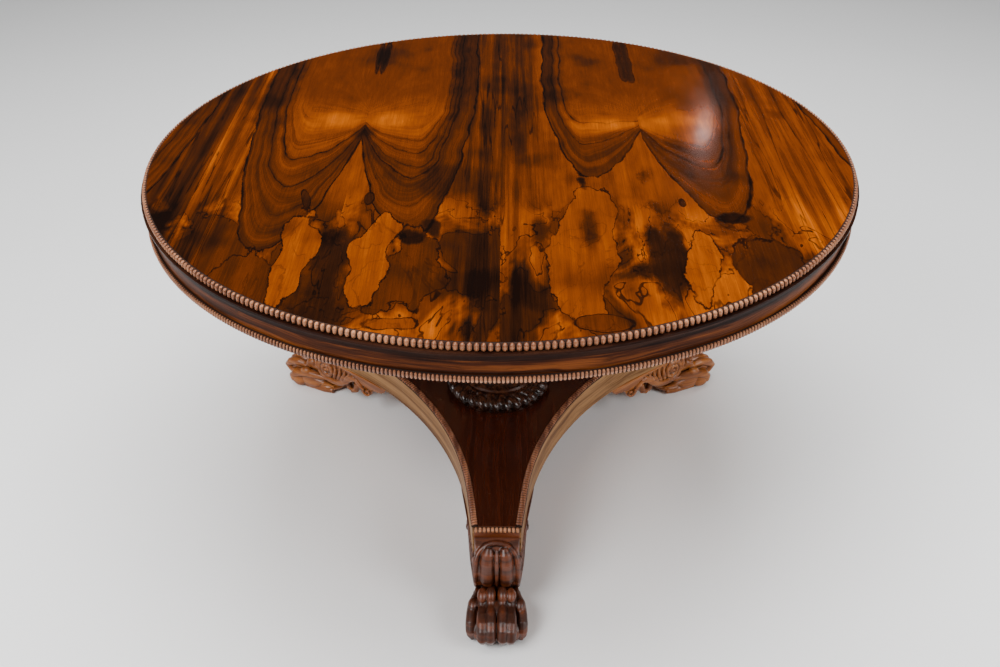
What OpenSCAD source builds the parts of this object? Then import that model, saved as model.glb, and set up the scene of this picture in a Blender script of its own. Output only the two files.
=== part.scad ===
// Round rosewood breakfast table: a tilting top with a beaded frieze on a turned column and
// a three-armed platform with scrolled brackets and lion's-paw feet.
// The origin is on the floor under the column; +Z is up and the front foot points along -Y.

/* [Table top] */
// Height of the top surface above the floor
table_h = 737; // [700:1:780]
// Radius of the veneered surface and of the ground under the edge mouldings
top_r = 648; // [560:1:720]
// Thickness of the veneer
veneer_t = 1.5; // [0.8:0.1:3]
// Thickness of the glued-up ground
ground_t = 24; // [18:1:32]
// Width of one book-matched veneer leaf
leaf_w = 271; // [200:1:320]
// Distance of the middle seam from the centre
seam_x = 7; // [-30:0.5:30]

/* [Edge mouldings] */
// Height of the upper bead row
bead_h = 13; // [8:0.5:16]
// Radius of one upper bead
bead_r = 3.9; // [2.5:0.1:4.6]
// Number of upper beads round the edge
bead_count = 410; // [300:1:420]
// Wood left behind the upper beads
bead_web = 0.9; // [0.6:0.1:2]
// Projection of the fillet under the upper beads
fillet_out = 12; // [9:0.5:16]
// Height of the fillet
fillet_h = 3.5; // [2:0.5:6]
// Height of the cove under the fillet
cove_h = 16; // [10:0.5:20]
// Radius of one lower bead
low_bead_r = 2.7; // [1.8:0.1:2.9]
// Height of the lower bead row
low_bead_h = 11; // [6:0.5:14]
// Wood left behind the lower beads
low_bead_web = 1.6; // [0.6:0.1:3]
// Number of lower beads round the frieze
low_bead_count = 648; // [500:1:660]
// Distance of each bead's end from the edge of its strip
bead_short = 0.3; // [0.2:0.1:1]

/* [Frieze] */
// Depth of the frieze ring under the ground
frieze_h = 43; // [36:1:60]
// Thickness of the frieze ring
frieze_t = 26; // [18:1:34]
// Number of glue blocks inside the frieze
glue_block_count = 20; // [12:1:28]
// Leg length of a glue block
glue_block_size = 22; // [14:1:26]

/* [Bearers and hinge] */
// Width of the tilt block between the bearers
block_w = 240; // [200:1:280]
// Height of the tilt block
block_h = 62; // [56:1:80]
// Distance of the hinge pins behind the column
hinge_y = 158; // [150:1:180]
// Depth of the hinge pins below the underside of the ground
hinge_drop = 21.5; // [19:0.5:24]
// Radius of the hinge pins
pin_r = 10; // [7:0.5:12]
// Running clearance round the hinge pins
pin_clear = 0.06; // [0.02:0.01:0.1]
// Thickness of a bearer
bearer_w = 38; // [28:1:50]
// Depth of a bearer in the middle
bearer_h = 42; // [38:0.5:43]
// Depth of a bearer at its ends
bearer_end_h = 22; // [16:1:30]
// Length of a bearer
bearer_len = 1080; // [800:10:1120]

/* [Catches] */
// Distance of each catch from the middle
catch_x = 62; // [40:1:80]
// Width of the catch bolt
bolt_w = 14; // [10:0.5:18]
// Thickness of the catch bolt
bolt_t = 8; // [6:0.5:10]
// Travel of the catch bolt into the block
bolt_travel = 10; // [6:0.5:12]
// Sliding clearance round the catch bolt
bolt_clear = 0.25; // [0.1:0.05:0.5]

/* [Column] */
// Radius of the column's foot inside the gadrooned collar
column_foot_r = 78; // [70:1:95]
// Outer radius of the gadrooned collar
collar_r = 113; // [100:1:130]
// Height of the gadrooned collar
collar_h = 34; // [24:1:44]
// Number of gadroons
gadroon_count = 28; // [20:1:32]
// Greatest radius of the swelling of the column
swell_r = 82; // [65:1:95]
// Radius of the column's neck
neck_r = 46; // [36:1:60]
// Radius of the tenon at the column's foot
foot_tenon_r = 38; // [28:1:45]
// Radius of the tenon at the column's head
head_tenon_r = 30; // [22:1:36]

/* [Platform] */
// Height of the platform's deck above the floor
deck_h = 178; // [165:1:190]
// Thickness of the platform
platform_t = 68; // [60:1:80]
// Distance of the centre of each concave side's arc from the column
side_centre = 870; // [840:5:900]
// Radius of each concave side's arc
side_r = 702; // [690:1:715]
// Half the angle of each concave side's arc
side_angle = 23; // [21:0.5:25]
// Reach of each arm from the column
arm_r = 440; // [425:1:470]
// Thickness of the facings on the concave sides
facing_t = 3; // [1.5:0.5:5]
// Width of the bead moulding along the deck's edges
edge_w = 11; // [8:0.5:14]
// Radius of one edge bead
edge_bead_r = 2.9; // [2:0.1:3.1]
// Spacing of the edge beads
edge_pitch = 6.7; // [6.4:0.1:8]
// Number of beads across the end of each arm
end_bead_count = 11; // [8:1:11]

/* [Feet] */
// Distance of the volute's eye past the arm's end
volute_out = 15; // [5:1:20]
// Radius of the volute
volute_r = 31; // [26:1:34]
// Height of the seat between bracket and paw
paw_seat = 46; // [40:1:50]
// Reach of the toes past the arm's end
toe_reach = 159; // [140:1:165]
// Length of the bracket's seat under the arm
bracket_len = 185; // [170:1:195]
// Width of the paw
paw_w = 116; // [100:1:125]
// Height of the paw's knuckles
paw_h = 88; // [78:1:96]
// Height of the carving on the bracket's sides
relief = 3; // [1.5:0.5:5]

/* [Fasteners] */
// Radius of a wood screw's shank
screw_r = 2.75; // [2:0.25:4]
// Radius of a wood screw's head
head_r = 6; // [4.5:0.5:8]
// Radius of a dowel
dowel_r = 6; // [4:0.5:8]

/* [Hidden] */

// Gap between two bodies that touch on the real table
seat_gap = 0.3;
// Small overrun of a cut past the face it opens
cut = 1;
arm_angles = [-90, 30, 150];
side_angles = [-30, 90, 210];
arm_to_side = 60;

// Heights of the top, from the surface down
ground_top = table_h - veneer_t;
ground_bottom = ground_top - ground_t;
frieze_bottom = ground_bottom - frieze_h;
bead_bottom = table_h - bead_h;
fillet_bottom = bead_bottom - fillet_h;
cove_bottom = fillet_bottom - cove_h;
cove_seat = 2;
low_bead_bottom = frieze_bottom + 1;
low_bead_top = low_bead_bottom + low_bead_h;
frieze_in = top_r - frieze_t;
fillet_lap = 3;

// The tilt block and its hinge
block_top = ground_bottom - seat_gap;
block_bottom = block_top - block_h;
hinge_z = ground_bottom - hinge_drop;
block_round = hinge_drop - seat_gap;
block_front = hinge_y + 2;
bearer_in = block_w / 2 + 0.5;
bearer_mid = bearer_in + bearer_w / 2;
bearer_flat = bearer_len * 0.3;
pin_grip = 40;

// The catches
bolt_z = ground_bottom - 8.8;
case_wall = 8;
case_floor = 2.2;
case_len = 44;
case_gap = 8;
nose_gap = 3.3;
bolt_nose_y = -block_front - nose_gap;
bolt_len = 80;
knob_r = 6;
knob_drop = 14;
keep_w = 44;
keep_h = 15;
keep_t = 2;
mortise_clear = 1;
mortise_deep = bolt_travel - nose_gap + 3;

// The column
column_low = deck_h;
column_high = block_bottom;
column_run = column_high - column_low - collar_h;
function up(f) = column_low + collar_h + f * column_run;

// The platform
core_top = deck_h - veneer_t;
core_bottom = deck_h - platform_t;
side_arc = side_r * side_angle * PI / 180;
arc_steps = 14;
edge_seat = 4;
end_bead_r = 3.3;
end_bead_h = 12;
end_back = end_bead_r + 0.8;

// Half the width of an arm at a distance r from the column, straight past the arc's end
tangent_r = side_centre * cos(arm_to_side) - side_r * cos(arm_to_side + side_angle);
tangent_half = side_centre * sin(arm_to_side) - side_r * sin(arm_to_side + side_angle);
taper = 1 / tan(arm_to_side + side_angle);
function arm_half(r) = r > tangent_r
    ? tangent_half - (r - tangent_r) * taper
    : side_centre * sin(arm_to_side)
        - sqrt(pow(side_r, 2) - pow(r - side_centre * cos(arm_to_side), 2));
waist_r = side_centre - side_r;
waist_in = waist_r * cos(arm_to_side);
taper_angle = 90 - arm_to_side - side_angle;

// A point of a concave side, out from its face by off, at the length s from its middle
function side_point(s, off) =
    let (a = sign(s) * min(abs(s), side_arc) / side_arc * side_angle,
         past = sign(s) * max(abs(s) - side_arc, 0))
    [side_centre - (side_r - off) * cos(a) + past * sin(a),
     (side_r - off) * sin(a) + past * cos(a)];
function side_turn(s) = sign(s) * min(abs(s), side_arc) / side_arc * side_angle;
side_end = side_arc + (arm_r - tangent_r) / sin(arm_to_side + side_angle);

// Points along a Bezier curve
function bezier(p, n) = [for (i = [0 : n]) let (t = i / n)
    pow(1 - t, 3) * p[0] + 3 * pow(1 - t, 2) * t * p[1]
    + 3 * (1 - t) * pow(t, 2) * p[2] + pow(t, 3) * p[3]];

// The foot, seen from the side: r outwards, z up
volute_x = arm_r + volute_out;
volute_z = paw_seat + volute_r;
toe_r = arm_r + toe_reach;
bracket_in = arm_r - bracket_len;
small_scroll = [volute_x - 131, core_bottom - 38];
small_scroll_r = 15;
knee_top = deck_h - end_bead_h - 14;
s_band = 12;
lobe_y = 17;
lobe_lean = 13;
hood_lean = 40;
leaf_lean = 36;
leaf_y = 24;
knee_clear = 8;
knee_drop = 19;
s_curve = bezier([small_scroll + [8, -12], [volute_x - 89, core_bottom - 10],
    [volute_x - 70, paw_seat], [volute_x, paw_seat]], 12);
knee_curve = bezier([[volute_x + volute_r, volute_z], [volute_x + volute_r + 1, core_bottom + 2],
    [volute_x + 7, knee_top - 6], [arm_r, knee_top]], 8);
bracket_outline = concat([[bracket_in, core_bottom], [bracket_in + 2, core_bottom - 7],
    [bracket_in + 12, core_bottom - 20], [bracket_in + 27, core_bottom - 24],
    small_scroll + [-20, 10], small_scroll + [-12, -6]],
    s_curve, knee_curve, [[arm_r, core_bottom]]);

// The foot's fasteners
foot_screw_r = [volute_x - 105, volute_x - 47];
foot_screw_len = 0.72 * platform_t;
foot_screw_sink = 16;
screw_head_t = 4;
dowel_y = 0.17 * paw_w;
dowel_len = paw_h / 2;

module at_arms() {
    for (a = arm_angles) rotate([0, 0, a]) children();
}

module at_sides() {
    for (a = side_angles) rotate([0, 0, a]) children();
}

// Plan of one arm from r0 to r1, drawn in from its sides
module arm_plan(r0, r1, inset) {
    steps = 12;
    right = [for (i = [0 : steps]) let (r = r0 + (r1 - r0) * i / steps) [r, arm_half(r) - inset]];
    polygon(concat(right, [for (i = [steps : -1 : 0]) [right[i][0], -right[i][1]]]));
}

// Plan of the whole platform, drawn in from its sides and its ends
module platform_plan(side_in, end_in) {
    last = side_end - end_in;
    polygon([for (a = side_angles)
        for (i = [-arc_steps - 1 : arc_steps + 1])
            let (s = abs(i) > arc_steps ? sign(i) * last : side_arc * i / arc_steps,
                 p = side_point(s, -side_in))
            [p[0] * cos(a) - p[1] * sin(a), p[0] * sin(a) + p[1] * cos(a)]]);
}

// A band that follows one concave side between two offsets
module side_band(off_in, off_out, end_in) {
    last = side_end - end_in;
    row = [for (i = [-arc_steps - 1 : arc_steps + 1])
        abs(i) > arc_steps ? sign(i) * last : side_arc * i / arc_steps];
    polygon(concat([for (s = row) side_point(s, off_out)],
        [for (i = [len(row) - 1 : -1 : 0]) side_point(row[i], off_in)]));
}

module foot_screw_holes() {
    for (r = foot_screw_r) translate([r, 0, core_bottom - foot_screw_sink]) {
        cylinder(r = screw_r, h = foot_screw_len + cut, $fn = 24);
        translate([0, 0, -core_bottom]) cylinder(r = head_r, h = core_bottom + screw_head_t, $fn = 24);
    }
}

module dowels(extra) {
    for (y = [-dowel_y, dowel_y]) translate([volute_x - 8, y, paw_seat - dowel_len / 2 - extra])
        cylinder(r = dowel_r, h = dowel_len + 2 * extra, $fn = 32);
}

module platform_core() {
    color([0.42, 0.24, 0.13]) difference() {
        translate([0, 0, core_bottom]) linear_extrude(core_top - core_bottom)
            platform_plan(facing_t, 0);
        translate([0, 0, core_bottom - cut])
            cylinder(r = foot_tenon_r, h = platform_t + 2 * cut, $fn = 96);
        at_sides() translate([0, 0, core_top - edge_seat]) linear_extrude(edge_seat + cut)
            side_band(-edge_w, cut, -20);
        at_arms() foot_screw_holes();
    }
}

module deck_veneer() {
    color([0.16, 0.05, 0.02]) difference() {
        translate([0, 0, core_top]) linear_extrude(veneer_t) platform_plan(edge_w, 0);
        translate([0, 0, core_top - cut]) cylinder(r = foot_tenon_r, h = veneer_t + 2 * cut, $fn = 96);
    }
}

module side_facings() {
    color([0.55, 0.4, 0.27]) at_sides()
        translate([0, 0, core_bottom]) linear_extrude(platform_t - veneer_t - edge_seat)
            side_band(-facing_t, 0, 0);
}

// One bead laid across the moulding and dipping outwards
module edge_bead(s) {
    p = side_point(s, -edge_w / 2);
    translate([p[0], p[1], deck_h + 0.4]) rotate([0, 90, side_turn(s) * -1])
        translate([0, 0, -edge_w / 2 + 0.6]) cylinder(r = edge_bead_r, h = edge_w + 1.2, $fn = 20);
}

module edge_beads() {
    strip_h = edge_seat + veneer_t - 0.6;
    reach = side_end - edge_pitch;
    half_count = floor(reach / edge_pitch);
    color([0.35, 0.17, 0.1]) at_sides() union() {
        translate([0, 0, core_top - edge_seat]) linear_extrude(strip_h) side_band(-edge_w, 1, 0);
        for (i = [-half_count : half_count]) edge_bead(i * edge_pitch);
    }
}

module end_beads() {
    half = arm_half(arm_r) - facing_t;
    pitch = 2 * half / end_bead_count;
    low = deck_h - end_bead_h - 1;
    color([0.35, 0.17, 0.1]) at_arms() union() {
        translate([arm_r, -half, low]) cube([end_back, 2 * half, end_bead_h]);
        for (i = [0 : end_bead_count - 1])
            translate([arm_r + end_back, -half + (i + 0.5) * pitch, low])
                cylinder(r = end_bead_r, h = end_bead_h, $fn = 20);
    }
}

// A flat spiral band of the given width, 1.6 turns in to its eye
module spiral(r_out, width, turns) {
    n = 26;
    function arm(i, w) = let (t = i / n, a = -90 + 360 * turns * t,
        r = r_out * pow(1 - t, 0.8) + 4 - w * (1 - 0.5 * t)) [r * cos(a), r * sin(a)];
    polygon(concat([for (i = [0 : n]) arm(i, 0)], [for (i = [n : -1 : 0]) arm(i, width)]));
}

// Carving on one side of a bracket: volute, fan of leaves, S-shaped band and small scroll
module side_relief() {
    translate([volute_x, volute_z]) spiral(volute_r - 5, 5, 1.6);
    translate([volute_x, volute_z]) circle(r = 6, $fn = 24);
    polygon(concat([for (p = s_curve) p], [for (i = [len(s_curve) - 1 : -1 : 0])
        s_curve[i] + [0, s_band]]));
    translate(small_scroll) circle(r = 9, $fn = 24);
}

module scroll_bracket() {
    reach = volute_x + volute_r + 6;
    difference() {
        union() {
            intersection() {
                rotate([90, 0, 0]) translate([0, 0, -200]) linear_extrude(400) union() {
                    polygon(bracket_outline);
                    translate([volute_x, volute_z]) circle(r = volute_r, $fn = 96);
                    translate(small_scroll) circle(r = small_scroll_r, $fn = 64);
                }
                linear_extrude(deck_h) arm_plan(bracket_in - 6, reach, 0);
            }
            for (side = [-1, 1]) translate([tangent_r, side * tangent_half, 0])
                rotate([0, 0, -side * taper_angle]) translate([0, side * (relief / 2 - 0.5), 0])
                    rotate([90, 0, 0]) translate([-tangent_r, 0, -relief / 2 - 0.5])
                        linear_extrude(relief + 1) side_relief();
            knee_front();
            foot_leaf();
        }
        foot_screw_holes();
        dowels(0.5);
    }
}

// A turned shape with its tip at the origin, swelling along +Z over the given length
module spindle(length, radius) {
    shape = [[0, 0], [0.02, 0.4], [0.08, 0.7], [0.2, 0.92], [0.4, 1], [0.65, 0.98], [0.85, 0.85],
        [0.96, 0.5], [1, 0]];
    rotate_extrude($fn = 40) polygon([for (p = shape) [radius * p[1], length * p[0]]]);
}

// The two lobes on the front of the knee, under a raised hood
module knee_front() {
    lobe_r = 15;
    lobe_top = knee_top - 6;
    hood_r = 39;
    hood_tube = 4.6;
    hood_z = knee_top - 34;
    hood_x = volute_x + 23;
    leg_lean = 6;
    for (y = [-lobe_y, lobe_y]) translate([volute_x + 11, y, lobe_top]) rotate([0, 180 - lobe_lean, 0])
        spindle(lobe_top - volute_z + 12, lobe_r);
    translate([hood_x, 0, hood_z]) rotate([0, 90 - hood_lean, 0]) rotate([0, 0, 90])
        rotate_extrude(angle = 180, $fn = 64) translate([hood_r, 0]) circle(r = hood_tube, $fn = 24);
    for (y = [-hood_r, hood_r]) translate([hood_x, y, hood_z + 2]) rotate([0, 180 - leg_lean, 0])
        cylinder(r = hood_tube - 0.3, h = hood_z - volute_z + 4, $fn = 24);
}

// The three lobes of the leaf that hangs under the S-shaped band
module foot_leaf() {
    for (y = [-leaf_y, 0, leaf_y])
        translate([small_scroll[0] + 28, y, small_scroll[1] + 16]) rotate([0, 180 - leaf_lean, 0])
            spindle(volute_r * 2.7 - abs(y) * 0.3, 19);
}

module scroll(a) {
    color([0.4, 0.2, 0.1]) rotate([0, 0, a]) scroll_bracket();
}

// Half width, top and bottom of the paw along its length, from its heel to its toes
function paw_half(u) = paw_w / 2 * (u < 0.6
    ? 0.72 + 0.28 * sin(150 * u) : sqrt(1 - pow((u - 0.6) / 0.42, 4)));
function paw_top(u) = u < 0.45
    ? paw_seat + (paw_h - paw_seat) * sin(200 * u)
    : paw_h * (u < 0.6 ? 1 : pow(1 - pow((u - 0.6) / 0.43, 2.8), 0.7))
        * (1 - 0.05 * pow(sin(600 * (u - 0.5)), 2));
function paw_bottom(u) = abs(u - 0.5) < 0.03 ? 11 : u > 0.99 ? 16 : u > 0.95 ? 8 : u > 0.9 ? 3
    : u < 0.03 ? 12 : -2;
function lobed(a, u) = 1 - 0.14 * min(1, max(0, (u - 0.35) / 0.2)) * pow(abs(cos(4 * a)), 3);

paw_stations = [0, 0.05, 0.16, 0.3, 0.42, 0.5, 0.58, 0.66, 0.74, 0.82, 0.89, 0.94, 0.975, 1];
paw_heel = volute_x - 19;
paw_ring = 32;

// One ring of the paw's skin: lobed toes above, flat sole below
function paw_section(u) =
    let (x = paw_heel + (toe_r - paw_heel) * u, w = paw_half(u), hi = paw_top(u),
         lo = paw_bottom(u), mid = lo + (hi - lo) * 0.35)
    [for (i = [0 : paw_ring - 1]) let (a = 360 * i / paw_ring, c = cos(a), s = sin(a),
         square = s > -0.01 ? 0.7 : 0.5,
         cc = sign(c) * pow(abs(c), square), ss = sign(s) * pow(abs(s), square),
         k = s > -0.01 ? lobed(a, u) : 1)
        [x, w * cc * k, s > 0 ? mid + (hi - mid) * ss * k : mid + (mid - lo) * ss]];

module paw_skin() {
    n = len(paw_stations);
    rings = [for (u = paw_stations) paw_section(u)];
    points = [for (r = rings) for (p = r) p];
    walls = [for (j = [0 : n - 2]) for (i = [0 : paw_ring - 1])
        let (a = j * paw_ring + i, b = j * paw_ring + (i + 1) % paw_ring)
        each [[a, a + paw_ring, b], [b, a + paw_ring, b + paw_ring]]];
    heel = [[for (i = [0 : paw_ring - 1]) i]];
    toe = [[for (i = [paw_ring - 1 : -1 : 0]) (n - 1) * paw_ring + i]];
    polyhedron(points, concat(walls, heel, toe), convexity = 6);
}

module volute_cut(radius) {
    translate([volute_x, paw_w, volute_z]) rotate([90, 0, 0])
        cylinder(r = radius, h = 2 * paw_w, $fn = 96);
}

module paw(a) {
    color([0.36, 0.16, 0.08]) rotate([0, 0, a]) difference() {
        paw_skin();
        translate([paw_heel - 20, -paw_w, -20]) cube([toe_r - paw_heel + 40, 2 * paw_w, 20]);
        translate([paw_heel - 20, -paw_w, paw_seat])
            cube([volute_x - paw_heel + 20, 2 * paw_w, paw_h]);
        volute_cut(volute_r + 0.05);
        intersection() {
            volute_cut(volute_r + knee_clear);
            translate([volute_x, -paw_w, volute_z - knee_drop])
                cube([2 * volute_r, 2 * paw_w, 2 * volute_r]);
        }
        dowels(0.5);
    }
}

module scroll_front() { scroll(arm_angles[0]); }
module scroll_right() { scroll(arm_angles[1]); }
module scroll_left() { scroll(arm_angles[2]); }
module paw_front() { paw(arm_angles[0]); }
module paw_right() { paw(arm_angles[1]); }
module paw_left() { paw(arm_angles[2]); }

module paw_dowels() {
    color([0.7, 0.55, 0.35]) at_arms() dowels(0);
}

module foot_screws() {
    color([0.45, 0.45, 0.45]) at_arms() for (r = foot_screw_r)
        translate([r, 0, core_bottom - foot_screw_sink]) union() {
            cylinder(r = screw_r, h = foot_screw_len, $fn = 24);
            cylinder(r = head_r, h = screw_head_t, $fn = 24);
        }
}

// Outline of the turned column, foot to head
function column_outline() = concat(
    [[foot_tenon_r, column_low], [column_foot_r, column_low], [column_foot_r, up(0)]],
    bezier([[column_foot_r - 3, up(0.007)], [column_foot_r - 20, up(0.018)],
        [neck_r + 6, up(0.046)], [neck_r + 8, up(0.11)]], 8),
    [[neck_r + 16, up(0.119)], [neck_r + 18, up(0.135)], [neck_r + 16, up(0.151)], [neck_r + 8, up(0.16)]],
    bezier([[neck_r + 12, up(0.169)], [swell_r + 14, up(0.206)],
        [swell_r + 6, up(0.384)], [neck_r + 6, up(0.703)]], 12),
    bezier([[neck_r + 2, up(0.726)], [neck_r - 4, up(0.794)], [neck_r - 2, up(0.849)], [neck_r, up(0.886)]], 6),
    [[neck_r + 10, up(0.89)], [neck_r + 13, up(0.904)], [neck_r + 10, up(0.918)], [neck_r + 4, up(0.925)]],
    bezier([[neck_r + 5, up(0.929)], [neck_r + 8, up(0.954)],
        [neck_r + 30, up(0.963)], [neck_r + 36, up(0.979)]], 6),
    [[neck_r + 36, column_high], [0, column_high]]);

wedge_t = 4;
wedge_deep = 30;

module tenon_slots(extra) {
    translate([-wedge_t / 2, -60, core_bottom - extra]) cube([wedge_t, 120, wedge_deep + extra]);
    translate([-wedge_t / 2, -60, block_top - wedge_deep]) cube([wedge_t, 120, wedge_deep + extra]);
}

module column() {
    color([0.2, 0.08, 0.04]) difference() {
        union() {
            rotate_extrude($fn = 128) polygon(concat([[0, column_low]], column_outline()));
            translate([0, 0, core_bottom]) cylinder(r = foot_tenon_r, h = platform_t, $fn = 96);
            translate([0, 0, column_high]) cylinder(r = head_tenon_r, h = block_h, $fn = 96);
        }
        tenon_slots(cut);
    }
}

module tenon_wedges() {
    color([0.6, 0.45, 0.28]) intersection() {
        tenon_slots(0);
        union() {
            translate([0, 0, core_bottom]) cylinder(r = foot_tenon_r, h = platform_t, $fn = 96);
            translate([0, 0, column_high]) cylinder(r = head_tenon_r, h = block_h, $fn = 96);
        }
    }
}

// The collar: a ring whose outside is carved into gadroons
module gadroon_collar() {
    per_lobe = 6;
    n = gadroon_count * per_lobe;
    profile = [[column_foot_r, 0], [collar_r - 6, 0], [collar_r, 5], [collar_r, 14], [collar_r - 5, 23],
        [collar_r - 16, 31], [collar_r - 28, collar_h], [column_foot_r, collar_h]];
    m = len(profile);
    function depth(j) = j > 0 && j < m - 1 ? 3.2 * sin(180 * j / (m - 1)) : 0;
    points = [for (i = [0 : n - 1]) for (j = [0 : m - 1])
        let (a = 360 * i / n, groove = 1 - sqrt(abs(sin(a * gadroon_count / 2))),
             r = profile[j][0] - depth(j) * groove)
        [r * cos(a), r * sin(a), deck_h + profile[j][1]]];
    faces = [for (i = [0 : n - 1]) for (j = [0 : m - 1])
        let (k = (i + 1) % n, l = (j + 1) % m, a = i * m + j, b = k * m + j, c = k * m + l, d = i * m + l)
        each [[a, c, b], [a, d, c]]];
    color([0.3, 0.12, 0.06]) difference() {
        polyhedron(points, faces, convexity = 8);
        translate([0, 0, deck_h - cut]) cylinder(r = column_foot_r, h = collar_h + 2 * cut, $fn = 128);
    }
}

module keep_place(x) {
    translate([x - keep_w / 2, -block_front, bolt_z - keep_h / 2]) cube([keep_w, keep_t, keep_h]);
}

module keep_screw_place() {
    for (x = [-catch_x, catch_x]) for (d = [-1, 1])
        translate([x + d * (keep_w / 2 - 6), -block_front, bolt_z]) rotate([-90, 0, 0]) children();
}

module tilt_block() {
    color([0.45, 0.26, 0.14]) difference() {
        union() {
            translate([-block_w / 2, -block_front, block_bottom])
                cube([block_w, block_front + hinge_y, block_h]);
            translate([-block_w / 2, hinge_y, block_bottom])
                cube([block_w, block_round, hinge_z - block_bottom]);
            translate([-block_w / 2, hinge_y, hinge_z]) rotate([0, 90, 0])
                cylinder(r = block_round, h = block_w, $fn = 96);
        }
        translate([0, 0, block_bottom - cut]) cylinder(r = head_tenon_r, h = block_h + 2 * cut, $fn = 96);
        for (side = [-1, 1]) translate([side * (block_w / 2 - pin_grip / 2 + cut / 2), hinge_y, hinge_z])
            rotate([0, 90, 0]) cylinder(r = pin_r, h = pin_grip + cut, center = true, $fn = 64);
        for (x = [-catch_x, catch_x]) {
            keep_place(x);
            translate([x - bolt_w / 2 - mortise_clear, -block_front - cut, bolt_z - bolt_t / 2 - mortise_clear])
                cube([bolt_w + 2 * mortise_clear, mortise_deep + cut, bolt_t + 2 * mortise_clear]);
        }
        keep_screw_place() cylinder(r = 1.5, h = 16, $fn = 24);
    }
}

module hinge_pins() {
    pin_len = pin_grip + 0.5 + bearer_w;
    color([0.5, 0.33, 0.18]) for (side = [-1, 1])
        translate([side * (block_w / 2 - pin_grip + pin_len / 2), hinge_y, hinge_z])
            rotate([0, 90, 0]) cylinder(r = pin_r, h = pin_len, center = true, $fn = 64);
}

module keep_plates() {
    color([0.75, 0.6, 0.25]) for (x = [-catch_x, catch_x]) difference() {
        keep_place(x);
        translate([x - bolt_w / 2 - mortise_clear, -block_front - cut, bolt_z - bolt_t / 2 - mortise_clear])
            cube([bolt_w + 2 * mortise_clear, keep_t + 2 * cut, bolt_t + 2 * mortise_clear]);
        keep_screw_place() cylinder(r = 1.5, h = 16, center = true, $fn = 24);
    }
}

module keep_screws() {
    color([0.75, 0.6, 0.25]) keep_screw_place() cylinder(r = 1.5, h = 15.5, $fn = 24);
}

module bearer_screw_place() {
    for (side = [-1, 1]) for (f = [-0.43, -0.26, -0.09, 0.05, 0.27, 0.43])
        translate([side * bearer_mid, f * bearer_len, 0]) children();
}

// Where the bearer screws' heads sit and their tips end
bearer_head_z = ground_bottom - bearer_end_h + screw_head_t;
bearer_screw_top = ground_bottom + ground_t * 0.65;

module bearer_screw_cut() {
    translate([0, 0, bearer_head_z]) cylinder(r = screw_r, h = bearer_screw_top - bearer_head_z, $fn = 24);
    translate([0, 0, frieze_bottom - cut])
        cylinder(r = head_r, h = bearer_head_z + screw_head_t - frieze_bottom + cut, $fn = 24);
}

module catch_screw_place() {
    for (x = [-catch_x, catch_x]) for (dx = [-1, 1]) for (dy = [-1, 1])
        translate([x + dx * (bolt_w / 2 + case_wall + 5),
            -block_front - case_gap - case_len / 2 + dy * (case_len / 2 - 8), 0]) children();
}

module top_ground() {
    color([0.62, 0.45, 0.27]) difference() {
        translate([0, 0, ground_bottom]) cylinder(r = top_r, h = ground_t, $fn = 180);
        bearer_screw_place() bearer_screw_cut();
        catch_screw_place() translate([0, 0, ground_bottom - cut]) cylinder(r = 1.5, h = 12 + cut, $fn = 24);
    }
}

module veneer_leaves() {
    leaf_gap = 0.02;
    half_count = ceil(top_r / leaf_w);
    color([0.6, 0.28, 0.08]) for (i = [-half_count : half_count]) intersection() {
        translate([0, 0, ground_top]) cylinder(r = top_r, h = veneer_t, $fn = 180);
        translate([seam_x + i * leaf_w + leaf_gap / 2, -top_r - cut, ground_top - cut])
            cube([leaf_w - leaf_gap, 2 * (top_r + cut), veneer_t + 2 * cut]);
    }
}

// A ring moulding of upright beads on a strip that reaches to their centres
module bead_ring(back_in, web, low, high, radius, count) {
    back = radius + web;
    union() {
        rotate_extrude($fn = 180) translate([back_in, low]) square([back, high - low]);
        for (i = [0 : count - 1]) rotate([0, 0, 360 * i / count])
            translate([back_in + back, 0, low + bead_short])
                cylinder(r = radius, h = high - low - 2 * bead_short, $fn = 20);
    }
}

module top_bead_ring() {
    color([0.5, 0.28, 0.17]) bead_ring(top_r, bead_web, bead_bottom, table_h, bead_r, bead_count);
}

module lower_bead_ring() {
    color([0.5, 0.28, 0.17]) bead_ring(top_r + cove_seat, low_bead_web, low_bead_bottom, low_bead_top,
        low_bead_r, low_bead_count);
}

module cove_moulding() {
    cove_r = fillet_out - fillet_lap - cove_seat;
    steps = 8;
    color([0.25, 0.11, 0.06]) rotate_extrude($fn = 180) translate([top_r, 0]) polygon(concat(
        [[0, bead_bottom], [0, cove_bottom], [cove_seat + 0.6, cove_bottom]],
        [for (i = [1 : steps]) let (a = 90 * i / steps)
            [cove_seat + 0.6 + cove_r * (1 - cos(a)), fillet_bottom - cove_h + (cove_h - 1.5) * sin(a)]],
        [[fillet_out - fillet_lap, fillet_bottom], [fillet_out, fillet_bottom], [fillet_out, bead_bottom]]));
}

module frieze_ring() {
    color([0.55, 0.38, 0.22]) rotate_extrude($fn = 180)
        translate([frieze_in, frieze_bottom]) square([frieze_t, frieze_h]);
}

module frieze_veneer() {
    color([0.3, 0.13, 0.06]) rotate_extrude($fn = 180)
        translate([top_r, frieze_bottom]) square([cove_seat, cove_bottom - frieze_bottom]);
}

module glue_blocks() {
    sweep = glue_block_size * 1.8 / frieze_in * 180 / PI;
    color([0.72, 0.58, 0.38]) for (i = [0 : glue_block_count - 1])
        rotate([0, 0, 360 * (i + 0.5) / glue_block_count - sweep / 2])
            rotate_extrude(angle = sweep, $fn = 180) polygon([[frieze_in, ground_bottom],
                [frieze_in - glue_block_size, ground_bottom], [frieze_in, ground_bottom - glue_block_size]]);
}

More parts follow.
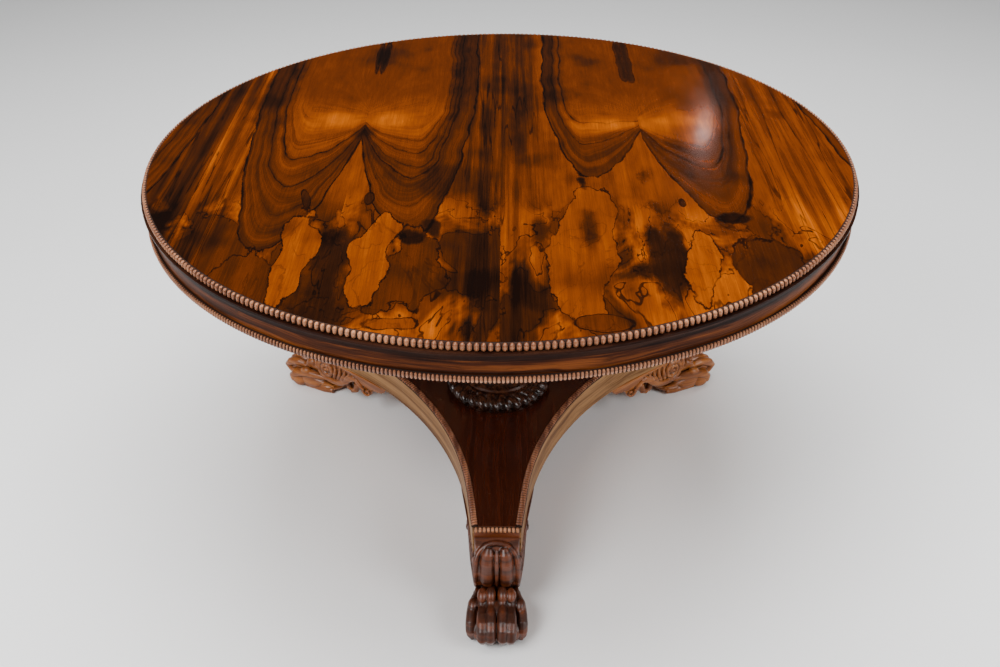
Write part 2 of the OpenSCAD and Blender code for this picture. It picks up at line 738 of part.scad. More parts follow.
module bearer(side) {
    half = bearer_len / 2;
    color([0.5, 0.33, 0.18]) difference() {
        translate([side * bearer_mid + bearer_w / 2, 0, ground_bottom]) rotate([0, -90, 0])
            linear_extrude(bearer_w) polygon([[0, -half], [-bearer_end_h, -half],
                [-bearer_h, -bearer_flat], [-bearer_h, bearer_flat], [-bearer_end_h, half], [0, half]]);
        translate([side * bearer_mid, hinge_y, hinge_z]) rotate([0, 90, 0])
            cylinder(r = pin_r + pin_clear, h = bearer_w + 2 * cut, center = true, $fn = 64);
        bearer_screw_place() bearer_screw_cut();
    }
}

module bearer_right() { bearer(1); }
module bearer_left() { bearer(-1); }

module bearer_screws() {
    color([0.45, 0.45, 0.45]) bearer_screw_place() translate([0, 0, bearer_head_z]) union() {
        cylinder(r = screw_r, h = bearer_screw_top - bearer_head_z, $fn = 24);
        cylinder(r = head_r, h = screw_head_t, $fn = 24);
    }
}

module catch_cases() {
    outer_w = bolt_w + 2 * case_wall;
    flange = 10;
    y0 = -block_front - case_gap - case_len;
    low = bolt_z - bolt_t / 2 - bolt_clear - case_floor;
    color([0.78, 0.62, 0.28]) for (x = [-catch_x, catch_x]) difference() {
        union() {
            translate([x - outer_w / 2 - flange, y0, ground_bottom - 2])
                cube([outer_w + 2 * flange, case_len, 2]);
            translate([x - outer_w / 2, y0, low]) cube([outer_w, case_len, ground_bottom - low]);
        }
        translate([x - bolt_w / 2 - bolt_clear, y0 - cut, bolt_z - bolt_t / 2 - bolt_clear])
            cube([bolt_w + 2 * bolt_clear, case_len + 2 * cut, bolt_t + 2 * bolt_clear]);
        catch_screw_place() translate([0, 0, ground_bottom - 10]) cylinder(r = 1.5, h = 20, $fn = 24);
    }
}

module catch_screws() {
    color([0.78, 0.62, 0.28]) catch_screw_place() union() {
        translate([0, 0, ground_bottom - 3.2]) cylinder(r = 1.5, h = 14, $fn = 24);
        translate([0, 0, ground_bottom - 3.2]) cylinder(r = 3, h = 1.2, $fn = 24);
    }
}

module catch_bolt(side) {
    y0 = bolt_nose_y - bolt_len;
    color([0.8, 0.65, 0.3]) union() {
        translate([side * catch_x - bolt_w / 2, y0, bolt_z - bolt_t / 2]) cube([bolt_w, bolt_len, bolt_t]);
        translate([side * catch_x, y0 + knob_r + 2, bolt_z - bolt_t / 2]) mirror([0, 0, 1])
            rotate_extrude($fn = 48) polygon([[0, -1], [3.5, -1], [3, 4], [knob_r, 7], [knob_r, 10],
                [knob_r - 2, knob_drop], [0, knob_drop]]);
    }
}

module catch_bolt_right() { catch_bolt(1); }
module catch_bolt_left() { catch_bolt(-1); }

platform_core();
deck_veneer();
side_facings();
edge_beads();
end_beads();
scroll_front();
scroll_right();
scroll_left();
paw_front();
paw_right();
paw_left();
paw_dowels();
foot_screws();
column();
gadroon_collar();
tenon_wedges();
tilt_block();
hinge_pins();
keep_plates();
keep_screws();
top_ground();
veneer_leaves();
top_bead_ring();
cove_moulding();
frieze_ring();
frieze_veneer();
lower_bead_ring();
glue_blocks();
bearer_right();
bearer_left();
bearer_screws();
catch_cases();
catch_screws();
catch_bolt_right();
catch_bolt_left();
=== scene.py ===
"""Looks of a round rosewood breakfast table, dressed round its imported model."""

import logging
import math
from dataclasses import dataclass
from dataclasses import field
from enum import Enum
from typing import Callable
from typing import Sequence

import bmesh
import bpy
from mathutils import Euler
from mathutils import Matrix
from mathutils import Vector


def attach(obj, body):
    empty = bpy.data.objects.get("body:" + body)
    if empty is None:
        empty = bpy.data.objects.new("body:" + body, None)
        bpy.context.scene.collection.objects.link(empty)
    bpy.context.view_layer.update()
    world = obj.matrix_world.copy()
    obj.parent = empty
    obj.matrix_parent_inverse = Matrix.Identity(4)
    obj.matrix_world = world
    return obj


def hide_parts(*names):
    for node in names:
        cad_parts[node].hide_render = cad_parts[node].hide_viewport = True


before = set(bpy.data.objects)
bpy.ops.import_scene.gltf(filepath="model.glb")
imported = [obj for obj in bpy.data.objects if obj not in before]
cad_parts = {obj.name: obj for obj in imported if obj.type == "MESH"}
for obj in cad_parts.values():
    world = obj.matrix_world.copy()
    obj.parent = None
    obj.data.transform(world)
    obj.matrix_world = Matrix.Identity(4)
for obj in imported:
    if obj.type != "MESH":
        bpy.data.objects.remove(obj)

LOG = logging.getLogger("breakfast_table")
MM = 0.001
DECK_HEIGHT = 178.0
TOP_HEIGHT = 737.0
SURFACE_RADIUS = 648.0
ARM_TURNS = (-90.0, 30.0, 150.0)
SIDE_TURNS = (-30.0, 90.0, 210.0)
SIDES = (-1.0, 1.0)
ALONG = (1.0, 0.0, 0.0)
UPWARDS = (0.0, 0.0, 1.0)
Colour = tuple[float, float, float]
Point = tuple[float, float, float]
FlatPoint = tuple[float, float]


class Grain(Enum):
    """The way the grain runs on a piece."""

    ALONG_X = "along_x"
    ALONG_Y = "along_y"
    ALONG_Z = "along_z"
    LEVEL = "level"
    ROUND = "round"


class Body(Enum):
    """The bodies that new pieces ride on."""

    BASE = "base"
    TOP = "top"


class Slot(Enum):
    """Names of two material slots; no piece in this script is given one."""

    BEAD_ROSEWOOD = "bead_rosewood"
    CARVED_ROSEWOOD = "carved_rosewood"


class Signal:
    """The output of a node. Its arithmetic adds Math nodes."""

    def __init__(self, graph: "Graph", socket: bpy.types.NodeSocket) -> None:
        """Keeps the graph and the output socket."""
        self.graph = graph
        self.socket = socket

    def __add__(self, other: object) -> "Signal":
        """This plus the other."""
        return self.graph.math("ADD", self, other)

    def __radd__(self, other: object) -> "Signal":
        """The other plus this."""
        return self.graph.math("ADD", other, self)

    def __sub__(self, other: object) -> "Signal":
        """This less the other."""
        return self.graph.math("SUBTRACT", self, other)

    def __rsub__(self, other: object) -> "Signal":
        """The other less this."""
        return self.graph.math("SUBTRACT", other, self)

    def __mul__(self, other: object) -> "Signal":
        """This times the other."""
        return self.graph.math("MULTIPLY", self, other)

    def __rmul__(self, other: object) -> "Signal":
        """The other times this."""
        return self.graph.math("MULTIPLY", other, self)

    def __truediv__(self, other: object) -> "Signal":
        """This over the other."""
        return self.graph.math("DIVIDE", self, other)

    def __rtruediv__(self, other: object) -> "Signal":
        """The other over this."""
        return self.graph.math("DIVIDE", other, self)

    def __abs__(self) -> "Signal":
        """This without its sign."""
        return self.graph.math("ABSOLUTE", self)


class Graph:
    """Adds nodes to a shader tree and wires them in one call."""

    def __init__(self, tree: bpy.types.NodeTree) -> None:
        """Keeps the tree that the nodes go into."""
        self.tree = tree

    def feed(self, socket: bpy.types.NodeSocket, value: object) -> None:
        """Links a socket to another one, or sets its value.

        Args:
            socket: The input.
            value: A signal, an output socket, a number or a tuple.
        """
        if isinstance(value, Signal):
            value = value.socket
        if isinstance(value, bpy.types.NodeSocket):
            self.tree.links.new(value, socket)
        elif isinstance(value, tuple) and len(value) == 3 and socket.type == "RGBA":
            socket.default_value = (*value, 1.0)
        else:
            socket.default_value = value

    def node(self, kind: str, inputs: dict | None = None, **settings: object) -> bpy.types.Node:
        """Adds one node.

        Args:
            kind: The node's type name.
            inputs: Values or signals by input name or index.
            settings: Properties of the node.

        Returns:
            The node.
        """
        made = self.tree.nodes.new(kind)
        for key, value in settings.items():
            setattr(made, key, value)
        for key, value in (inputs or {}).items():
            self.feed(made.inputs[key], value)
        return made

    def group(self, tree: bpy.types.NodeTree, **inputs: object) -> dict[str, Signal]:
        """Adds a node group and returns its outputs by name."""
        made = self.node("ShaderNodeGroup")
        made.node_tree = tree
        for key, value in inputs.items():
            self.feed(made.inputs[key], value)
        return {socket.name: Signal(self, socket) for socket in made.outputs}

    def math(self, operation: str, *values: object, clamp: bool = False) -> Signal:
        """Adds a Math node of one to three values, held within 0 and 1 on demand."""
        made = self.node("ShaderNodeMath", dict(enumerate(values)), operation=operation, use_clamp=clamp)
        return Signal(self, made.outputs[0])

    def length(self, first: Signal, second: Signal) -> Signal:
        """The length of a line whose legs are given."""
        return self.math("SQRT", first * first + second * second)

    def larger(self, first: object, second: object) -> Signal:
        """The larger of two."""
        return self.math("MAXIMUM", first, second)

    def over(self, first: object, second: object) -> Signal:
        """One where the first is greater, else zero."""
        return self.math("GREATER_THAN", first, second)

    def step(self, value: object, low: float, high: float, start: float = 0.0, end: float = 1.0) -> Signal:
        """Eases from start to end while value goes from low to high."""
        made = self.node("ShaderNodeMapRange", {0: value, 1: low, 2: high, 3: start, 4: end},
                         interpolation_type="SMOOTHSTEP")
        return Signal(self, made.outputs[0])

    def mix(self, share: object, first: object, second: object) -> Signal:
        """Mixes two colours by the share of the second."""
        made = self.node("ShaderNodeMix", {0: share, 6: first, 7: second}, data_type="RGBA")
        return Signal(self, made.outputs[2])

    def lerp(self, share: object, first: object, second: object) -> Signal:
        """Mixes two numbers by the share of the second."""
        made = self.node("ShaderNodeMix", {0: share, 2: first, 3: second}, data_type="FLOAT")
        return Signal(self, made.outputs[0])

    def ramp(self, value: object, stops: Sequence[tuple[float, Colour]]) -> Signal:
        """Turns a number into a colour.

        Args:
            value: The number.
            stops: Positions and colours.

        Returns:
            The colour.
        """
        made = self.node("ShaderNodeValToRGB", {0: value})
        elements = made.color_ramp.elements
        while len(elements) < len(stops):
            elements.new(0.5)
        for element, (position, colour) in zip(elements, stops):
            element.position = position
            element.color = (*colour, 1.0)
        return Signal(self, made.outputs[0])

    def noise(self, vector: object, scale: float = 1.0, detail: float = 2.0, rough: float = 0.5,
              twist: float = 0.0) -> Signal:
        """Adds a noise, whose detail is its octaves and rough the weight of the finer ones."""
        made = self.node("ShaderNodeTexNoise", {"Vector": vector, "Scale": scale, "Detail": detail,
                                                "Roughness": rough, "Distortion": twist})
        return Signal(self, made.outputs[0])

    def stretch(self, vector: object, factors: Point, shift: Point = (0.0, 0.0, 0.0)) -> Signal:
        """Scales coordinates along each axis and then shifts them."""
        made = self.node("ShaderNodeMapping", {"Vector": vector, "Scale": factors, "Location": shift})
        return Signal(self, made.outputs[0])

    def cloud(self, vector: object, factors: Point, shift: Point = (0.0, 0.0, 0.0), **form: float) -> Signal:
        """Adds a noise on stretched coordinates."""
        return self.noise(self.stretch(vector, factors, shift), **form)

    def join(self, x: object, y: object, z: object = 0.0) -> Signal:
        """Makes coordinates of three numbers."""
        return Signal(self, self.node("ShaderNodeCombineXYZ", {0: x, 1: y, 2: z}).outputs[0])

    def split(self, vector: object) -> list[Signal]:
        """Splits coordinates into their three numbers."""
        return [Signal(self, socket) for socket in self.node("ShaderNodeSeparateXYZ", {0: vector}).outputs]

    def given(self, kind: str, output: str, **settings: object) -> Signal:
        """An output of a node that has no inputs."""
        return Signal(self, self.node(kind, **settings).outputs[output])

    def place(self) -> Signal:
        """Object coordinates in millimetres."""
        return self.stretch(self.given("ShaderNodeTexCoord", "Object"), (1.0 / MM, 1.0 / MM, 1.0 / MM))

    def bump(self, height: object, strength: float, depth: float) -> Signal:
        """Turns a height into a normal."""
        made = self.node("ShaderNodeBump", {"Strength": strength, "Distance": depth, "Height": height})
        return Signal(self, made.outputs[0])

    def surface(self, inputs: dict[str, object]) -> None:
        """Ends a material with its shader and its output."""
        shader = self.node("ShaderNodeBsdfPrincipled", inputs)
        self.node("ShaderNodeOutputMaterial", {"Surface": shader.outputs[0]})


def new_group(name: str, gloss_or_figure: str, default: float,
              build: Callable[[Graph, Signal, Signal], dict[str, Signal]]) -> bpy.types.NodeTree:
    """Makes a shader node group of a vector and one number.

    Args:
        name: The group's name.
        gloss_or_figure: The name of the number.
        default: The number's default.
        build: Makes the outputs by name from the graph, the vector and the number.

    Returns:
        The group's tree.
    """
    tree = bpy.data.node_groups.new(name, "ShaderNodeTree")
    tree.interface.new_socket("Vector", in_out="INPUT", socket_type="NodeSocketVector")
    number = tree.interface.new_socket(gloss_or_figure, in_out="INPUT", socket_type="NodeSocketFloat")
    number.default_value = default
    g = Graph(tree)
    start = tree.nodes.new("NodeGroupInput")
    made = build(g, Signal(g, start.outputs[0]), Signal(g, start.outputs[1]))
    for title in made:
        tree.interface.new_socket(title, in_out="OUTPUT", socket_type="NodeSocketFloat")
    end = tree.nodes.new("NodeGroupOutput")
    for title, value in made.items():
        g.feed(end.inputs[title], value)
    return tree


def wood_grain(g: Graph, vector: Signal, figure: Signal) -> dict[str, Signal]:
    """Wood grain that runs along the X of its vector, in millimetres.

    Args:
        g: The group's graph.
        vector: Coordinates.
        figure: Strength of the tones.

    Returns:
        The outputs Tone, Pores and Ink.
    """
    sway = g.cloud(vector, (0.006, 0.02, 0.02))
    pushed = g.node("ShaderNodeVectorMath", {0: vector, 1: g.join(0.0, sway * 26.0)},
                    operation="ADD").outputs[0]
    broad = g.cloud(pushed, (0.003, 0.09, 0.09), detail=3.0, rough=0.55)
    fine = g.cloud(pushed, (0.012, 0.75, 0.75), detail=3.0, rough=0.6)
    tone = g.step(broad * 0.72 + fine * 0.28, 0.36, 0.64)
    lines = g.cloud(pushed, (0.0025, 0.055, 0.055), (3.0, 7.0, 1.0), detail=4.0, rough=0.6)
    return {"Tone": g.lerp(figure, 0.5, tone),
            "Pores": g.step(g.cloud(vector, (0.09, 1.9, 1.9), detail=1.0), 0.66, 0.76),
            "Ink": g.step(abs(lines - 0.47), 0.0, 0.02, 1.0, 0.0)}


def rubbed_polish(g: Graph, vector: Signal, gloss: Signal) -> dict[str, Signal]:
    """The unevenness of a rubbed shellac polish, over millimetres.

    Args:
        g: The group's graph.
        vector: Coordinates.
        gloss: The mean roughness.

    Returns:
        The outputs Roughness and Height.
    """
    swell = g.cloud(vector, (0.012, 0.012, 0.012), detail=3.0)
    speck = g.cloud(vector, (0.35, 0.35, 0.35))
    return {"Roughness": gloss + (swell * 0.16 + speck * 0.08 - 0.12),
            "Height": swell * 0.6 + speck * 0.1}


class SharedEffects:
    """The node groups that several finishes use."""

    def __init__(self) -> None:
        """Builds each group once."""
        self.grain = new_group("Wood grain", "Figure", 1.0, wood_grain)
        self.polish = new_group("Rubbed polish", "Gloss", 0.2, rubbed_polish)


def new_material(name: str) -> tuple[bpy.types.Material, Graph]:
    """Starts a material with an empty tree.

    Args:
        name: The material's name.

    Returns:
        The material and its graph.
    """
    made = bpy.data.materials.new(name)
    made.use_nodes = True
    made.node_tree.nodes.clear()
    return made, Graph(made.node_tree)


def shade(colour: Colour, factor: float) -> Colour:
    """A colour made lighter or darker."""
    return tuple(min(1.0, c * factor) for c in colour)


@dataclass(frozen=True)
class WoodFinish:
    """A polished or bare wood with its own tones, grain direction and age; on demand with hollows darkened
    (dirt and painted shade), ridges lightened, painted shade between beads and a painted highlight on bead
    crowns.
    """

    name: str
    light: Colour
    middle: Colour
    dark: Colour
    grain: Grain = Grain.ALONG_X
    figure: float = 1.0
    ink: float = 0.5
    pores: float = 0.5
    gloss: float = 0.22
    coat: float = 0.0
    carved: float = 0.0
    specular: float = 0.3
    gap_shade: float = 0.0
    turning_radius: float = 650.0
    bump: float = 0.25

    def _along(self, g: Graph, place: Signal) -> Signal:
        """Turns object coordinates so that the grain runs along X.

        Args:
            g: The material's graph.
            place: Object coordinates in millimetres.

        Returns:
            The new coordinates.
        """
        x, y, z = g.split(place)
        if self.grain is Grain.ALONG_Y:
            return g.join(y, x, z)
        if self.grain is Grain.ALONG_Z:
            return g.join(z, y, x)
        if self.grain is Grain.LEVEL:
            return g.join(x + y, z, x * 0.02)
        if self.grain is Grain.ROUND:
            return g.join(g.math("ARCTAN2", y, x) * self.turning_radius, z)
        return place

    def material(self, effects: SharedEffects) -> bpy.types.Material:
        """Builds the material.

        Args:
            effects: The shared node groups.

        Returns:
            The material.
        """
        made, g = new_material(self.name)
        place = g.place()
        grain = g.group(effects.grain, Vector=self._along(g, place), Figure=self.figure)
        polish = g.group(effects.polish, Vector=place, Gloss=self.gloss)
        rough = polish["Roughness"]
        pores = grain["Pores"] * self.pores
        colour = g.ramp(grain["Tone"], [(0.0, self.dark), (0.5, self.middle), (1.0, self.light)])
        colour = g.mix(grain["Ink"] * self.ink, colour, shade(self.dark, 0.25))
        colour = g.mix(pores, colour, shade(self.dark, 0.5))
        if self.carved > 0.0:
            # Pointiness: hollows darkened, partly dirt in the crevices and partly painted shade; ridges made
            # lighter.
            point = g.given("ShaderNodeNewGeometry", "Pointiness")
            hollow_dirt_and_shade = g.step(point, 0.502, 0.455, 0.0, 0.92 * self.carved)
            ridge = g.step(point, 0.52, 0.58, 0.0, 0.45 * self.carved)
            colour = g.mix(hollow_dirt_and_shade, colour, shade(self.dark, 0.18))
            colour = g.mix(ridge, colour, shade(self.light, 1.5))
        if self.gap_shade > 0.0:
            # Painted shade between the beads (crown near 0, also the strips behind them) and a painted
            # highlight on each bead's crown.
            crown = g.given("ShaderNodeAttribute", "Fac", attribute_name="crown")
            colour = g.mix(g.step(crown, 0.02, 0.34, self.gap_shade, 0.0), colour, shade(self.dark, 0.12))
            colour = g.mix(g.step(crown, 0.7, 1.0, 0.0, 0.3), colour, shade(self.light, 1.5))
            rough = g.larger(rough, g.step(crown, 0.1, 0.45, 1.0, 0.0))
        g.surface({"Base Color": colour, "Roughness": rough, "Specular IOR Level": self.specular,
                   "Coat Weight": self.coat, "Coat Roughness": max(0.05, self.gloss * 0.6),
                   "Normal": g.bump(polish["Height"] - pores, self.bump, 0.0004)})
        return made


@dataclass(frozen=True)
class MetalFinish:
    """Brass or iron, dulled in patches and finely scratched."""

    name: str
    bright: Colour
    dull: Colour
    gloss: float

    def material(self, effects: SharedEffects) -> bpy.types.Material:
        """Builds the material.

        Args:
            effects: The shared node groups.

        Returns:
            The material.
        """
        made, g = new_material(self.name)
        place = g.place()
        dulled = g.step(g.cloud(place, (0.08, 0.08, 0.08), detail=4.0, rough=0.6), 0.4, 0.62)
        scratches = g.cloud(place, (0.08, 3.0, 3.0))
        polish = g.group(effects.polish, Vector=place, Gloss=self.gloss)
        g.surface({"Base Color": g.mix(dulled, self.bright, self.dull),
                   "Roughness": polish["Roughness"] + dulled * 0.18, "Metallic": 1.0,
                   "Normal": g.bump(scratches, 0.15, 0.0003)})
        return made


class Leaf(Enum):
    """The four large leaves: whether they lie at the right heart, and on its outer side."""

    LEFT_OUTER = (False, True)
    LEFT_INNER = (False, False)
    RIGHT_INNER = (True, False)
    RIGHT_OUTER = (True, True)


LEFT_OUTER, LEFT_INNER, RIGHT_INNER, RIGHT_OUTER = ((leaf,) for leaf in Leaf)
LEFT_LEAVES = LEFT_OUTER + LEFT_INNER
RIGHT_LEAVES = RIGHT_INNER + RIGHT_OUTER
ALL_LEAVES = LEFT_LEAVES + RIGHT_LEAVES


@dataclass(frozen=True)
class GrowthLine:
    """A dark line round the heart, at its depth below the heart."""

    leaves: tuple[Leaf, ...]
    depth: float
    width: float
    ink: float


@dataclass(frozen=True)
class Patch:
    """A patch of another tone, with its middle and half sizes from the heart, across and along."""

    leaves: tuple[Leaf, ...]
    at: FlatPoint
    size: FlatPoint
    tone: float
    edge: float = 0.05
    soft: float = 0.04
    slant: float = 0.0
    ragged: float = 1.0


@dataclass(frozen=True)
class BookMatchedVeneer:
    """The figured rosewood of the table's surface, opened like a book at each seam."""

    name: str = "Book matched rosewood"
    leaf: float = 271.0
    seam: float = 7.0
    left_heart: float = 145.0
    right_heart: float = 122.0
    valley: float = 112.0
    stretch: float = 6.65
    crown: float = 200.0
    gloss: float = 0.15
    ink: Colour = (0.0035, 0.0014, 0.0009)
    pores: Colour = (0.012, 0.0035, 0.001)
    tones: tuple[tuple[float, Colour], ...] = (
        (0.0, (0.005, 0.0016, 0.0008)), (0.2, (0.0155, 0.0042, 0.0012)), (0.4, (0.038, 0.0084, 0.0012)),
        (0.6, (0.083, 0.0155, 0.0008)), (0.78, (0.15, 0.0285, 0.0008)), (0.9, (0.225, 0.046, 0.0009)),
        (1.0, (0.31, 0.07, 0.002)))
    borders: tuple[tuple[Leaf, float], ...] = (
        (Leaf.LEFT_OUTER, 535.0), (Leaf.LEFT_INNER, 493.0), (Leaf.RIGHT_INNER, 252.0),
        (Leaf.RIGHT_OUTER, 420.0))
    veins: tuple[FlatPoint, ...] = ((0.455, 0.007), (0.56, 0.009))
    lines: tuple[GrowthLine, ...] = (
        GrowthLine(LEFT_OUTER, 195.0, 1.8, 0.95),
        GrowthLine(LEFT_OUTER, 310.0, 2.0, 0.8),
        GrowthLine(LEFT_OUTER, 118.0, 1.0, 0.3),
        GrowthLine(LEFT_OUTER, 415.0, 1.2, 0.35),
        GrowthLine(LEFT_INNER, 112.0, 1.1, 0.5),
        GrowthLine(LEFT_INNER, 168.0, 1.6, 0.8),
        GrowthLine(LEFT_INNER, 228.0, 1.4, 0.6),
        GrowthLine(LEFT_INNER, 276.0, 3.2, 0.8),
        GrowthLine(LEFT_INNER, 385.0, 1.2, 0.4),
        GrowthLine(RIGHT_INNER, 4.0, 1.9, 0.9),
        GrowthLine(RIGHT_INNER, 104.0, 1.9, 0.75),
        GrowthLine(RIGHT_OUTER, 118.0, 1.1, 0.4),
        GrowthLine(RIGHT_OUTER, 209.0, 2.0, 0.9),
        GrowthLine(RIGHT_OUTER, 290.0, 1.2, 0.45))
    patches: tuple[Patch, ...] = (
        Patch(ALL_LEAVES, (54.0, -12.0), (78.0, 46.0), 0.93, 0.0, 0.8, 0.0, 0.6),
        Patch(RIGHT_OUTER, (80.0, -20.0), (82.0, 90.0), 0.96, 0.0, 0.8, 0.0, 0.6),
        Patch(LEFT_LEAVES, (2.0, -640.0), (46.0, 225.0), 0.17, 0.0, 0.6, 0.0, 1.3),
        Patch(RIGHT_INNER, (20.0, -480.0), (52.0, 160.0), 0.2, 0.0, 0.6, 0.0, 1.6),
        Patch(RIGHT_OUTER, (4.0, -500.0), (34.0, 150.0), 0.2, 0.0, 0.5),
        Patch(LEFT_INNER, (122.0, -615.0), (56.0, 122.0), 0.44, 0.05, 0.04, 0.12),
        Patch(LEFT_OUTER, (122.0, -640.0), (50.0, 112.0), 0.46, 0.05),
        Patch(LEFT_INNER, (66.0, -562.0), (32.0, 130.0), 0.78, 0.06, 0.04, 0.06),
        Patch(LEFT_OUTER, (60.0, -545.0), (32.0, 130.0), 0.8, 0.06, 0.04, -0.03),
        Patch(RIGHT_OUTER, (150.0, -600.0), (50.0, 128.0), 0.38, 0.06),
        Patch(RIGHT_OUTER, (48.0, -548.0), (29.0, 132.0), 0.84, 0.06, 0.04, 0.1),
        Patch(RIGHT_INNER, (132.0, -500.0), (54.0, 210.0), 0.74, 0.04, 0.04, -0.16),
        Patch(RIGHT_INNER, (124.0, -452.0), (20.0, 66.0), 0.3, 0.0, 0.9),
        Patch(RIGHT_INNER, (208.0, -446.0), (18.0, 60.0), 0.26, 0.0, 0.9),
        Patch(LEFT_INNER + RIGHT_INNER, (240.0, -30.0), (17.0, 175.0), 0.2, 0.0, 0.9),
        Patch(LEFT_INNER, (126.0, -497.0), (22.0, 18.0), 0.06, 0.0, 0.5, 0.0, 2.2),
        Patch(LEFT_INNER, (158.0, -462.0), (11.0, 34.0), 0.16, 0.0, 0.5, -0.2, 2.2),
        Patch(RIGHT_OUTER, (118.0, -408.0), (30.0, 13.0), 0.08, 0.0, 0.6, 0.0, 2.2),
        Patch(RIGHT_INNER, (127.0, -262.0), (10.0, 24.0), 0.12, 0.0, 0.5, 0.1, 2.0),
        Patch(LEFT_INNER + RIGHT_OUTER, (41.0, -353.0), (7.5, 20.0), 0.3, 0.24, 0.1, 0.0, 0.9),
        Patch(LEFT_OUTER, (70.0, -352.0), (6.0, 26.0), 0.28, 0.24, 0.2, 0.25, 1.6),
        Patch(LEFT_LEAVES, (112.0, -748.0), (42.0, 22.0), 0.7, 0.1, 0.1),
        Patch(RIGHT_LEAVES, (126.0, -722.0), (36.0, 17.0), 0.5, 0.12, 0.1),
        Patch(ALL_LEAVES, (7.0, 350.0), (9.0, 120.0), 0.24, 0.16, 0.3))

    def _depth(self, g: Graph, u: Signal, v: Signal) -> tuple[Signal, Signal]:
        """The depth below the heart of the growth line through a point.

        Args:
            g: The material's graph.
            u: Distance from the heart's seam.
            v: Distance behind the heart.

        Returns:
            The depth in millimetres along the valley, and how fast it changes per millimetre.
        """
        low = g.math("SMOOTH_MIN", v, self.crown, 150.0)
        fall = g.larger(1.0 - u / self.valley, 0.0)
        rise = 1.0 - 0.8 * g.math("POWER", fall, 1.8)
        inner = low * -1.0 / rise
        slope = g.math("POWER", fall, 0.8) * (1.44 / self.valley)
        lean = inner * slope / rise
        inner_rate = g.math("SQRT", lean * lean + 1.0 / (rise * rise))
        across = (u - self.valley) * self.stretch
        far = g.larger(g.length(across, low - self.crown), 1.0)
        outer = far - self.crown
        outer_rate = 1.0 + (self.stretch - 1.0) * (abs(across) / far)
        beyond = g.over(u, self.valley)
        return g.lerp(beyond, inner, outer), g.lerp(beyond, inner_rate, outer_rate)

    def _patch(self, g: Graph, patch: Patch, u: Signal, v: Signal, ragged: Signal, mask: Signal) -> Signal:
        """A ragged patch: above zero inside, zero on its boundary.

        Args:
            g: The material's graph.
            patch: The patch.
            u: Distance from the heart's seam.
            v: Distance behind the heart.
            ragged: What makes its boundary ragged.
            mask: One in its leaves.

        Returns:
            The field.
        """
        below = v - patch.at[1]
        aside = u - patch.at[0] - below * patch.slant
        far = g.length(aside / patch.size[0], below / patch.size[1])
        return g.lerp(mask, -1.0, 1.0 - far + ragged * patch.ragged)

    def _figure(self, g: Graph, place: Signal) -> tuple[Signal, Signal]:
        """The tone and the dark lines of the figure.

        Args:
            g: The material's graph.
            place: Object coordinates in millimetres.

        Returns:
            The tone and the ink.
        """
        x, y, _ = g.split(place)
        from_seam = x - self.seam
        u = self.leaf - g.math("PINGPONG", from_seam, self.leaf)
        right = g.over(from_seam, 0.0)
        outer = g.over(abs(from_seam), self.leaf)
        rim = g.over(abs(from_seam), 2.0 * self.leaf)
        v = y - g.lerp(right, self.left_heart, self.right_heart)
        masks = {}
        for leaf in Leaf:
            at_right, at_outer = leaf.value
            first = right if at_right else 1.0 - right
            second = outer if at_outer else 1.0 - outer
            masks[leaf] = first * second

        own = right * 300.0 + outer * 40.0
        plain = g.join(u, v, own)
        ragged = g.cloud(plain, (0.03, 0.014, 0.01), detail=5.0, rough=0.62) - 0.5
        slow = g.cloud(plain, (0.011, 0.006, 0.003), (5.0, 2.0, 0.0)) - 0.5
        sway = g.cloud(plain, (0.002, 0.007, 0.003), (1.0, 9.0, 4.0)) - 0.5
        depth, rate = self._depth(g, u + sway * g.step(u, 0.0, 60.0, 4.0, 30.0), v + slow * 60.0)

        border = sum(masks[leaf] * value for leaf, value in self.borders)
        over = depth + ragged * 62.0 - border
        share = depth / border
        past_border = g.step(over, -4.0, 4.0)

        bands = g.noise(g.join(depth * 0.021, u * 0.002, own), detail=4.0, rough=0.66)
        rings = g.noise(g.join(depth * 0.085, u * 0.004, own), detail=2.0, rough=0.6)
        calm = g.step(v, -40.0, 90.0, 1.0, 0.3)
        inside = g.lerp(g.step(share, 0.12, 0.62), 0.72, 0.47)
        inside = inside + (bands - 0.5) * (calm * 0.8) + (rings - 0.5) * (calm * 0.3)
        inside = inside - g.step(share, 0.88, 1.0, 0.0, 0.08) - g.step(v, 10.0, 150.0, 0.0, 0.14)

        streaks = g.noise(g.join(u * 0.05, v * 0.0013, own), detail=5.0, rough=0.64)
        seam_zone = g.step(u, 185.0, 215.0)
        outside = g.lerp(seam_zone, 0.68, g.lerp(outer, 0.44, 0.66))
        outside = outside + (streaks - 0.5) * g.lerp(seam_zone, 0.5, 1.5) - rim * (1.0 - right) * 0.28
        marble = g.cloud(plain, (0.0105, 0.0042, 0.01), (2.0, 6.0, 3.0), detail=4.0, rough=0.55, twist=0.6)
        below = g.step(v, -300.0, -430.0)
        outside = outside + (g.step(marble, 0.44, 0.56) - 0.55) * 0.42 * below
        tone = g.lerp(g.step(over, -3.0, 3.0), inside, outside)

